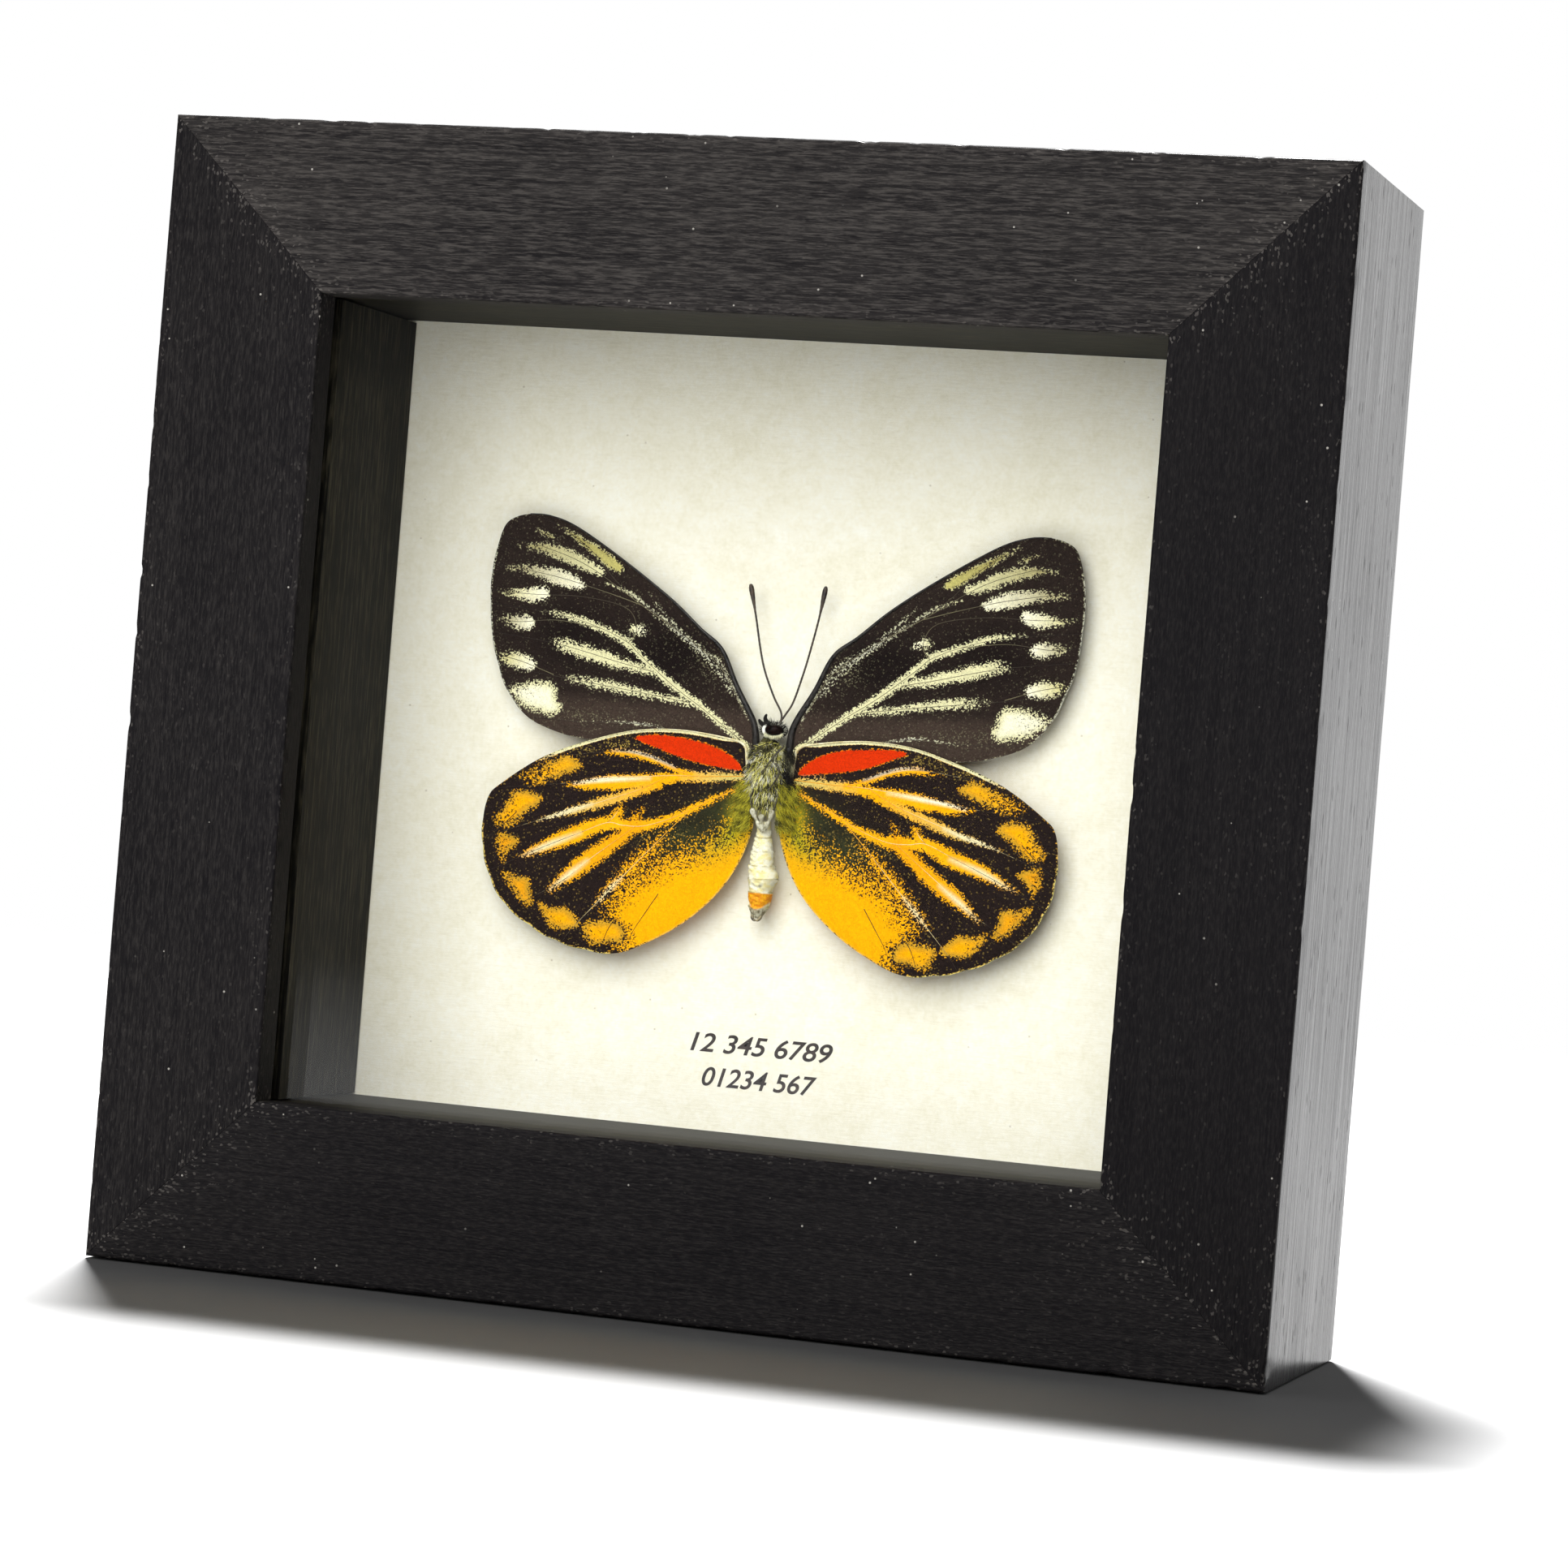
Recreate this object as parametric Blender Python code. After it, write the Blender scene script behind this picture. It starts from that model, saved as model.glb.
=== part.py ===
"""A set butterfly in a small wooden shadow box frame.

The frame stands upright on the bottom of its lower rail. X runs across the frame, Y runs
from the front to the back, and Z runs up. The origin is at the middle of the base.
"""

import math

import bmesh
import bpy
import numpy as np
from mathutils import Matrix, Vector

MM = 0.001

# Driving dimensions of the frame, in metres.
FRAME_WIDTH = 139.7 * MM
FRAME_HEIGHT = 133.3 * MM
FRAME_DEPTH = 40.0 * MM
FACE_WIDTH = 20.0 * MM
LIP_THICKNESS = 4.4 * MM
RABBET_WIDTH = 6.0 * MM
EASED_EDGE = 0.5 * MM
CLEARANCE = 0.3 * MM

# What is stacked in the rabbet, from the glass to the back board.
GLASS_THICKNESS = 2.5 * MM
SPACER_DEPTH = 23.4 * MM
SPACER_SET_BACK = 0.4 * MM
PAPER_THICKNESS = 0.3 * MM
FOAM_THICKNESS = 3.0 * MM
BOARD_THICKNESS = 2.5 * MM

# What holds the stack in and hangs the frame.
POINT_THICKNESS = 0.5 * MM
POINT_WIDTH = 9.0 * MM
POINT_REACH = 7.5 * MM
POINT_BITE = 3.0 * MM
POINTS_FROM_MIDDLE = 26.0 * MM
HANGER_LENGTH = 44.0 * MM
HANGER_HEIGHT = 7.0 * MM
HANGER_THICKNESS = 0.7 * MM
HANGER_NOTCHES = 9
NAIL_SPACING = 34.0 * MM
NAIL_RADIUS = 0.6 * MM
NAIL_HEAD_RADIUS = 1.5 * MM
NAIL_HEAD_HEIGHT = 0.6 * MM
NAIL_LENGTH = 8.0 * MM

# The butterfly lies with its underside to the glass.
BODY_X = -0.2 * MM
BODY_Z = 62.0 * MM
THORAX_SIZE = Vector((2.6, 2.3, 4.6)) * MM
HEAD_SIZE = Vector((1.7, 1.4, 1.3)) * MM
HEAD_RISE = 6.2 * MM
ABDOMEN_SIZE = Vector((1.5, 1.5, 5.8)) * MM
ABDOMEN_DROP = 10.8 * MM
WING_THICKNESS = 0.3 * MM
FOREWING_LIFT = 2.2 * MM
HINDWING_LIFT = 2.8 * MM
WING_ROOT = Vector((2.6, 3.0)) * MM
WING_TURN = {"left": 0.0, "right": math.radians(2.0)}
ANTENNA_RADIUS = 0.16 * MM
ANTENNA_CLUB_RADIUS = 0.34 * MM
ANTENNA_LIFT = 2.4 * MM
LEG_RADIUS = 0.17 * MM
LEG_STAND_OFF = 0.6 * MM

# Wing outlines, in millimetres outwards and upwards from the middle of the thorax.
FOREWING_OUTLINE = (
    (3.0, 3.2),
    (2.9, 6.4),
    (4.9, 10.3),
    (7.0, 14.3),
    (10.0, 16.9),
    (18.0, 22.8),
    (26.4, 27.8),
    (32.0, 29.2),
    (35.7, 27.7),
    (37.0, 22.5),
    (36.6, 15.5),
    (34.8, 9.6),
    (31.0, 5.0),
    (25.5, 3.0),
    (14.0, 2.6),
)
HINDWING_OUTLINE = (
    (3.1, 3.5),
    (7.0, 4.5),
    (13.5, 4.7),
    (20.0, 3.6),
    (28.6, 0.1),
    (33.7, -3.5),
    (35.5, -8.0),
    (35.0, -13.0),
    (31.6, -17.8),
    (26.0, -21.0),
    (19.5, -22.5),
    (13.9, -21.0),
    (8.0, -17.0),
    (3.6, -11.4),
    (1.9, -6.5),
    (3.0, -2.0),
)

# Antenna paths, in millimetres outwards and upwards from the middle of the thorax.
ANTENNA_PATHS = {
    "left": ((0.1, 8.1), (0.6, 9.5), (1.65, 12.2), (2.5, 14.9), (3.4, 18.9), (4.3, 22.4)),
    "right": ((0.9, 8.1), (1.7, 9.5), (2.9, 12.2), (3.6, 14.9), (4.4, 18.9), (4.95, 22.7)),
}

# Leg paths, as degrees round the thorax from its underside and millimetres up from its middle.
LEG_PATHS = {
    "front": ((16, 2.6), (40, 3.3), (58, 2.6), (38, 1.9), (24, 1.5)),
    "middle": ((20, 0.6), (44, 0.8), (60, 0.1), (40, -0.6), (22, -0.8)),
    "hind": ((18, -1.6), (40, -1.9), (52, -2.6), (30, -3.2), (12, -3.6)),
}

# Heights of the stack, measured back from the front of the frame.
GLASS_FRONT = LIP_THICKNESS + CLEARANCE
SPACER_FRONT = GLASS_FRONT + GLASS_THICKNESS + CLEARANCE
PAPER_FRONT = SPACER_FRONT + SPACER_DEPTH + CLEARANCE
FOAM_FRONT = PAPER_FRONT + PAPER_THICKNESS + CLEARANCE
BOARD_FRONT = FOAM_FRONT + FOAM_THICKNESS + CLEARANCE
POINT_FRONT = BOARD_FRONT + BOARD_THICKNESS + CLEARANCE
HANGER_FRONT = FRAME_DEPTH + CLEARANCE
HANGER_BACK = HANGER_FRONT + HANGER_THICKNESS
NAIL_BACK = HANGER_BACK + CLEARANCE + NAIL_HEAD_HEIGHT

FRONT_Y = -NAIL_BACK / 2
RABBET_INSET = FACE_WIDTH - RABBET_WIDTH + CLEARANCE
SIDES = {"left": -1, "right": 1}


def clear_scene():
    for old in list(bpy.data.objects):
        bpy.data.objects.remove(old)


def make_material(name, color, roughness, metallic=0.0, transmission=0.0):
    """A Principled BSDF material in one colour."""
    material = bpy.data.materials.new(name)
    material.use_nodes = True
    shader = material.node_tree.nodes["Principled BSDF"]
    shader.inputs["Base Color"].default_value = (*color, 1.0)
    shader.inputs["Roughness"].default_value = roughness
    shader.inputs["Metallic"].default_value = metallic
    shader.inputs["Transmission Weight"].default_value = transmission
    return material


def make_materials():
    return {
        "frame": make_material("black_stained_wood", (0.035, 0.034, 0.036), 0.45),
        "spacer": make_material("dark_stained_wood", (0.05, 0.046, 0.038), 0.6),
        "glass": make_material("clear_glass", (0.95, 0.97, 0.96), 0.02, 0.0, 1.0),
        "paper": make_material("parchment_paper", (0.86, 0.83, 0.74), 0.9),
        "foam": make_material("white_foam_board", (0.88, 0.88, 0.86), 0.8),
        "board": make_material("brown_hardboard", (0.27, 0.16, 0.085), 0.7),
        "steel": make_material("zinc_steel", (0.62, 0.62, 0.6), 0.35, 1.0),
        "brass": make_material("brass_plated_steel", (0.72, 0.52, 0.2), 0.3, 1.0),
        "forewing": make_material("forewing_scales", (0.035, 0.025, 0.022), 0.75),
        "hindwing": make_material("hindwing_scales", (0.55, 0.3, 0.03), 0.75),
        "thorax": make_material("thorax_down", (0.2, 0.2, 0.12), 0.9),
        "abdomen": make_material("abdomen_scales", (0.75, 0.68, 0.42), 0.8),
        "chitin": make_material("dark_chitin", (0.02, 0.015, 0.012), 0.35),
    }


def add_object(name, mesh, material):
    mesh.materials.append(material)
    made = bpy.data.objects.new(name, mesh)
    bpy.context.scene.collection.objects.link(made)
    return made


def mesh_from(name, build):
    """A mesh that a function fills, with its faces turned outwards."""
    shape = bmesh.new()
    build(shape)
    bmesh.ops.recalc_face_normals(shape, faces=shape.faces)
    mesh = bpy.data.meshes.new(name)
    shape.to_mesh(mesh)
    shape.free()
    return mesh


def loft(shape, rings):
    """Closed rings of points joined by side faces, with a face over each end."""
    rows = [[shape.verts.new(point) for point in ring] for ring in rings]
    count = len(rows[0])
    for low, high in zip(rows, rows[1:]):
        for i in range(count):
            j = (i + 1) % count
            shape.faces.new((low[i], low[j], high[j], high[i]))
    shape.faces.new(rows[0])
    shape.faces.new(rows[-1])


def plate(name, outline, front, thickness, material):
    """A flat piece: an outline of (x, z) points, from front to front + thickness."""
    near = [Vector((x, FRONT_Y + front, z)) for x, z in outline]
    far = [point + Vector((0, thickness, 0)) for point in near]
    mesh = mesh_from(name, lambda shape: loft(shape, (near, far)))
    return add_object(name, mesh, material)


def rectangle(inset_x, inset_z):
    """A rectangle inside the frame's outline, by its inset from the sides and the ends."""
    half = FRAME_WIDTH / 2 - inset_x
    return (
        (-half, inset_z),
        (half, inset_z),
        (half, FRAME_HEIGHT - inset_z),
        (-half, FRAME_HEIGHT - inset_z),
    )


def eased_corner(corner, inwards, steps=3):
    """Points of a quarter circle that rounds off a corner of the moulding's profile."""
    centre = Vector(corner) + Vector(inwards) * EASED_EDGE
    start = math.atan2(-inwards[1], -inwards[0])
    points = []
    for i in range(steps + 1):
        angle = start - math.pi / 4 + math.pi / 2 * i / steps
        reach = Vector((math.cos(angle), math.sin(angle))) * EASED_EDGE
        points.append(centre + reach)
    return points


def moulding_profile():
    """The rail's section, as (inwards from the outer face, back from the front) points."""
    wall = FACE_WIDTH - RABBET_WIDTH
    points = eased_corner((0, 0), (1, 1))
    points += eased_corner((FACE_WIDTH, 0), (-1, 1))
    points += [Vector((FACE_WIDTH, LIP_THICKNESS)), Vector((wall, LIP_THICKNESS))]
    points += [Vector((wall, FRAME_DEPTH))]
    points += eased_corner((0, FRAME_DEPTH), (1, -1))
    return points


def rail(name, length, material):
    """A mitred rail along X, its outer face down at z = 0, its middle at x = 0."""
    set_back = CLEARANCE / math.sqrt(2)
    profile = moulding_profile()
    ends = []
    for side in (-1, 1):
        reach = [side * (length / 2 - set_back - inwards) for inwards, _ in profile]
        ends.append([Vector((x, FRONT_Y + y, z)) for x, (z, y) in zip(reach, profile)])
    return add_object(name, mesh_from(name, lambda shape: loft(shape, ends)), material)


def cut(target, cutter):
    """Removes the cutter's shape from the target and keeps the cutter out of the model."""
    modifier = target.modifiers.new("cut_" + cutter.name, "BOOLEAN")
    modifier.operation = "DIFFERENCE"
    modifier.object = cutter
    modifier.solver = "EXACT"
    cutter.hide_render = True
    cutter.display_type = "WIRE"


def point_outline(grown=0.0):
    """A glazier's point: a strip with a blunt nose that bites into the rail's wall.

    The nose points to negative z, and z = 0 is the face of the wall.
    """
    half = POINT_WIDTH / 2 + grown
    nose = half * 0.55
    tip = -POINT_BITE - grown
    return (
        (-nose, tip),
        (nose, tip),
        (half, tip * 0.35),
        (half, POINT_REACH),
        (-half, POINT_REACH),
        (-half, tip * 0.35),
    )


def rail_places():
    """Each rail's length and the matrix that carries it from the bottom of the frame."""
    middle = FRAME_HEIGHT / 2
    half = FRAME_WIDTH / 2
    return {
        "bottom": (FRAME_WIDTH, Matrix.Identity(4)),
        "top": (
            FRAME_WIDTH,
            Matrix.Translation((0, 0, FRAME_HEIGHT)) @ Matrix.Rotation(math.pi, 4, "Y"),
        ),
        "left": (
            FRAME_HEIGHT,
            Matrix.Translation((-half, 0, middle)) @ Matrix.Rotation(math.pi / 2, 4, "Y"),
        ),
        "right": (
            FRAME_HEIGHT,
            Matrix.Translation((half, 0, middle)) @ Matrix.Rotation(-math.pi / 2, 4, "Y"),
        ),
    }


def add_rails_and_points(materials):
    wall = FACE_WIDTH - RABBET_WIDTH
    for side, (length, place) in rail_places().items():
        beam = rail("rail_" + side, length, materials["frame"])
        beam.matrix_world = place
        for number, offset in enumerate((-POINTS_FROM_MIDDLE, POINTS_FROM_MIDDLE), 1):
            moved = [(x + offset, z + wall) for x, z in point_outline()]
            label = f"{side}_{number}"
            tab = plate(
                "glazier_point_" + label,
                moved,
                POINT_FRONT,
                POINT_THICKNESS,
                materials["steel"],
            )
            tab.matrix_world = place
            grown = [(x + offset, z + wall) for x, z in point_outline(CLEARANCE)]
            slot = plate(
                "slot_" + label,
                grown,
                POINT_FRONT - CLEARANCE,
                POINT_THICKNESS + 2 * CLEARANCE,
                materials["steel"],
            )
            slot.matrix_world = place
            cut(beam, slot)


def add_spacers(materials):
    """Four strips line the walls. The side strips stand between the top and bottom ones."""
    outer = RABBET_INSET
    inner = FACE_WIDTH - SPACER_SET_BACK
    half = FRAME_WIDTH / 2
    low = inner + CLEARANCE
    for side, sign in SIDES.items():
        across = sorted((sign * (half - outer), sign * (half - inner)))
        outline = (
            (across[0], low),
            (across[1], low),
            (across[1], FRAME_HEIGHT - low),
            (across[0], FRAME_HEIGHT - low),
        )
        plate("spacer_" + side, outline, SPACER_FRONT, SPACER_DEPTH, materials["spacer"])
    for side, edge, sign in (("bottom", 0, 1), ("top", FRAME_HEIGHT, -1)):
        heights = sorted((edge + sign * outer, edge + sign * inner))
        outline = (
            (outer - half, heights[0]),
            (half - outer, heights[0]),
            (half - outer, heights[1]),
            (outer - half, heights[1]),
        )
        plate("spacer_" + side, outline, SPACER_FRONT, SPACER_DEPTH, materials["spacer"])


def add_sheets(materials):
    """The glass, the paper, the foam board and the back board, all the rabbet's size."""
    outline = rectangle(RABBET_INSET, RABBET_INSET)
    plate("glass_pane", outline, GLASS_FRONT, GLASS_THICKNESS, materials["glass"])
    plate("backing_paper", outline, PAPER_FRONT, PAPER_THICKNESS, materials["paper"])
    plate("foam_board", outline, FOAM_FRONT, FOAM_THICKNESS, materials["foam"])
    plate("back_board", outline, BOARD_FRONT, BOARD_THICKNESS, materials["board"])


def hanger_outline(middle_z):
    """A strip whose lower edge is a row of notches, so that the frame can be levelled."""
    half = HANGER_LENGTH / 2
    low = middle_z - HANGER_HEIGHT / 2
    high = middle_z + HANGER_HEIGHT / 2
    notch_span = HANGER_LENGTH * 0.56
    pitch = notch_span / HANGER_NOTCHES
    points = [(half, high), (-half, high), (-half, low)]
    for i in range(HANGER_NOTCHES):
        start = -notch_span / 2 + i * pitch
        points.append((start, low))
        points.append((start + pitch / 2, low + pitch * 0.6))
    points.append((notch_span / 2, low))
    points.append((half, low))
    return points


def tube(name, path, radii, material, sides=8):
    """A round bar along a straight path, with a radius at each of its points."""
    rings = []
    for point, radius in zip(path, radii):
        ring = []
        for i in range(sides):
            angle = 2 * math.pi * i / sides
            around = Vector((math.cos(angle), 0, math.sin(angle))) * radius
            ring.append(Vector(point) + around)
        rings.append(ring)
    mesh = mesh_from(name, lambda shape: loft(shape, rings))
    mesh.shade_smooth()
    mesh.set_sharp_from_angle(angle=math.radians(40))
    return add_object(name, mesh, material)


def add_hanger(materials):
    """A notched hanger on the back of the top rail, held by two short nails."""
    middle_z = FRAME_HEIGHT - (FACE_WIDTH - RABBET_WIDTH) / 2
    outline = hanger_outline(middle_z)
    strip = plate("hanger", outline, HANGER_FRONT, HANGER_THICKNESS, materials["brass"])
    top = bpy.data.objects["rail_top"]
    for side, sign in SIDES.items():
        x = sign * NAIL_SPACING / 2
        under_head = HANGER_BACK + CLEARANCE
        steps = (under_head - NAIL_LENGTH, under_head, under_head, NAIL_BACK)
        radii = (NAIL_RADIUS, NAIL_RADIUS, NAIL_HEAD_RADIUS, NAIL_HEAD_RADIUS * 0.7)
        path = [(x, FRONT_Y + back, middle_z) for back in steps]
        tube("hanger_nail_" + side, path, radii, materials["brass"], 16)
        hole = NAIL_RADIUS + CLEARANCE
        ends = (under_head - NAIL_LENGTH - CLEARANCE, under_head + CLEARANCE)
        path = [(x, FRONT_Y + back, middle_z) for back in ends]
        bore = tube("nail_bore_" + side, path, (hole, hole), materials["brass"], 16)
        cut(strip, bore)
        cut(top, bore)


def smooth_path(points, per_span, closed=False):
    """Catmull-Rom points through the given ones."""
    known = np.array(points, float)
    count = len(known)
    spans = count if closed else count - 1
    found = []
    for i in range(spans):
        if closed:
            picked = [known[(i + k) % count] for k in (-1, 0, 1, 2)]
        else:
            picked = [known[min(max(i + k, 0), count - 1)] for k in (-1, 0, 1, 2)]
        before, start, end, after = picked
        for step in range(per_span):
            t = step / per_span
            point = (
                2 * start
                + (end - before) * t
                + (2 * before - 5 * start + 4 * end - after) * t**2
                + (3 * start - before - 3 * end + after) * t**3
            )
            found.append(point / 2)
    if not closed:
        found.append(known[-1])
    return found


def wing_outline(points, side):
    """A wing's smooth outline, mirrored for its side and turned about its root."""
    sign = SIDES[side]
    turn = Matrix.Rotation(WING_TURN[side], 2)
    outline = []
    for point in smooth_path(points, 4, closed=True):
        local = turn @ (Vector(point) * MM - WING_ROOT) + WING_ROOT
        outline.append((BODY_X + sign * local.x, BODY_Z + local.y))
    return outline


def add_wings(materials):
    lifts = {"forewing": FOREWING_LIFT, "hindwing": HINDWING_LIFT}
    outlines = {"forewing": FOREWING_OUTLINE, "hindwing": HINDWING_OUTLINE}
    for kind, points in outlines.items():
        for side in SIDES:
            front = PAPER_FRONT - lifts[kind] - WING_THICKNESS / 2
            outline = wing_outline(points, side)
            name = f"{kind}_{side}"
            plate(name, outline, front, WING_THICKNESS, materials[kind])


def ellipsoid(name, size, middle, material, rings=10, segments=16):
    """A ball stretched to three half sizes."""

    def build(shape):
        place = Matrix.Translation(middle) @ Matrix.Diagonal((*size, 1))
        bmesh.ops.create_uvsphere(
            shape, u_segments=segments, v_segments=rings, radius=1, matrix=place
        )

    mesh = mesh_from(name, build)
    mesh.shade_smooth()
    return add_object(name, mesh, material)


def thorax_middle():
    back = PAPER_FRONT - CLEARANCE - THORAX_SIZE.y
    return Vector((BODY_X, FRONT_Y + back, BODY_Z))


def add_body(materials):
    middle = thorax_middle()
    ellipsoid("thorax", THORAX_SIZE, middle, materials["thorax"], 12, 20)
    above = Vector((0, 0, HEAD_RISE))
    ellipsoid("head", HEAD_SIZE, middle + above, materials["chitin"])
    below = Vector((0, 0, -ABDOMEN_DROP))
    ellipsoid("abdomen", ABDOMEN_SIZE, middle + below, materials["abdomen"], 12)


def bent_tube(name, points, radius, material, swell=None):
    """A bar along a bent path: a curve with a round bevel and closed ends."""
    curve = bpy.data.curves.new(name, "CURVE")
    curve.dimensions = "3D"
    curve.bevel_depth = radius
    curve.bevel_resolution = 1
    curve.use_fill_caps = True
    spline = curve.splines.new("POLY")
    spline.points.add(len(points) - 1)
    for i, point in enumerate(points):
        spline.points[i].co = (*point, 1)
        spline.points[i].radius = swell(i / (len(points) - 1)) if swell else 1
    return add_object(name, curve, material)


def club(along):
    """An antenna's thickness along its length: thin, with a club at its end."""
    grown = max(0.0, (along - 0.84) / 0.12)
    return 1 + (ANTENNA_CLUB_RADIUS / ANTENNA_RADIUS - 1) * min(grown, 1)


def add_antennae(materials):
    for side, path in ANTENNA_PATHS.items():
        sign = SIDES[side]
        y = FRONT_Y + PAPER_FRONT - ANTENNA_LIFT
        points = []
        for out, up in smooth_path(path, 6):
            points.append((BODY_X + sign * out * MM, y, BODY_Z + up * MM))
        bent_tube("antenna_" + side, points, ANTENNA_RADIUS, materials["chitin"], club)


def add_legs(materials):
    """Six thin legs folded over the underside of the thorax."""
    middle = thorax_middle()
    for pair, path in LEG_PATHS.items():
        for side, sign in SIDES.items():
            points = []
            for degrees, up in smooth_path(path, 4):
                angle = math.radians(degrees)
                belt = math.sqrt(1 - (up * MM / THORAX_SIZE.z) ** 2)
                across = THORAX_SIZE.x * belt + LEG_STAND_OFF
                towards = THORAX_SIZE.y * belt + LEG_STAND_OFF
                offset = (sign * across * math.sin(angle), -towards * math.cos(angle), up * MM)
                points.append(middle + Vector(offset))
            bent_tube(f"leg_{pair}_{side}", points, LEG_RADIUS, materials["chitin"])


def main():
    clear_scene()
    materials = make_materials()
    add_rails_and_points(materials)
    add_spacers(materials)
    add_sheets(materials)
    add_hanger(materials)
    add_wings(materials)
    add_body(materials)
    add_antennae(materials)
    add_legs(materials)


main()
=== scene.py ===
import math

import bpy
import numpy as np
from mathutils import Matrix, Vector


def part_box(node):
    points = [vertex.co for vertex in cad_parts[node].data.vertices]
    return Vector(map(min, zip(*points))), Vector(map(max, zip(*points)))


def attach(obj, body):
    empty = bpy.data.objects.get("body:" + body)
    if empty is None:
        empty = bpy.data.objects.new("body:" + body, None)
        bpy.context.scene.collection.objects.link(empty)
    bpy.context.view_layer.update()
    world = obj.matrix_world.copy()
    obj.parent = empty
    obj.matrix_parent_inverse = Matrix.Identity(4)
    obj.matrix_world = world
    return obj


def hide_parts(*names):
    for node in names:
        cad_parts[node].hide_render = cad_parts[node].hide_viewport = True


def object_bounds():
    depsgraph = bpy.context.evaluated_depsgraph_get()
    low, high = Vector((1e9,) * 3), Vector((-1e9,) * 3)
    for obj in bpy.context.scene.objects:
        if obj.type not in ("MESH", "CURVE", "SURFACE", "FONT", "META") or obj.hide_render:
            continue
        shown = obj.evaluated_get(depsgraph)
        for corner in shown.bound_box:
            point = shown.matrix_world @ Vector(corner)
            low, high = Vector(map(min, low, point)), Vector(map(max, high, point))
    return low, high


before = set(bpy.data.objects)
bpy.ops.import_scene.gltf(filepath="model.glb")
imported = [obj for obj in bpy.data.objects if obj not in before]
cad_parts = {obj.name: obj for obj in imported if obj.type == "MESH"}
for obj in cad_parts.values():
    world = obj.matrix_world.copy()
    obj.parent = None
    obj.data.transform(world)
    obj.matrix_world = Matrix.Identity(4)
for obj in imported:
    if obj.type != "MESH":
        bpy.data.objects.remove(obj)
cadLow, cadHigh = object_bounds()
print("frame loaded:", len(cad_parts), "nodes")

mm = 0.001
sides = {"left": -1, "right": 1}
chance = np.random.default_rng(41)


def paint(red, green, blue):
    # a screen colour, 0 to 255, as the linear values that shaders take
    screen = np.array((red, green, blue)) / 255
    linear = np.where(screen <= 0.04045, screen / 12.92, ((screen + 0.055) / 1.055) ** 2.4)
    return (*linear.tolist(), 1.0)


class Wire:
    # one output of a node: + - * / on it add Math nodes
    def __init__(self, finish, socket):
        self.finish = finish
        self.socket = socket

    def calculate(self, operation, *values, clamp=False):
        settings = {"operation": operation, "use_clamp": clamp}
        return self.finish.node("ShaderNodeMath", settings, dict(enumerate(values)))

    def __add__(self, other):
        return self.calculate("ADD", self, other)

    def __radd__(self, other):
        return self.calculate("ADD", other, self)

    def __sub__(self, other):
        return self.calculate("SUBTRACT", self, other)

    def __rsub__(self, other):
        return self.calculate("SUBTRACT", other, self)

    def __mul__(self, other):
        return self.calculate("MULTIPLY", self, other)

    def __rmul__(self, other):
        return self.calculate("MULTIPLY", other, self)

    def __pow__(self, other):
        return self.calculate("POWER", self, other)

    def over(self, edge, width):
        # 0 below the edge and 1 above it, with a ramp of that width
        return self.calculate("MULTIPLY_ADD", self, 1 / width, 0.5 - edge / width, clamp=True)


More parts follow.
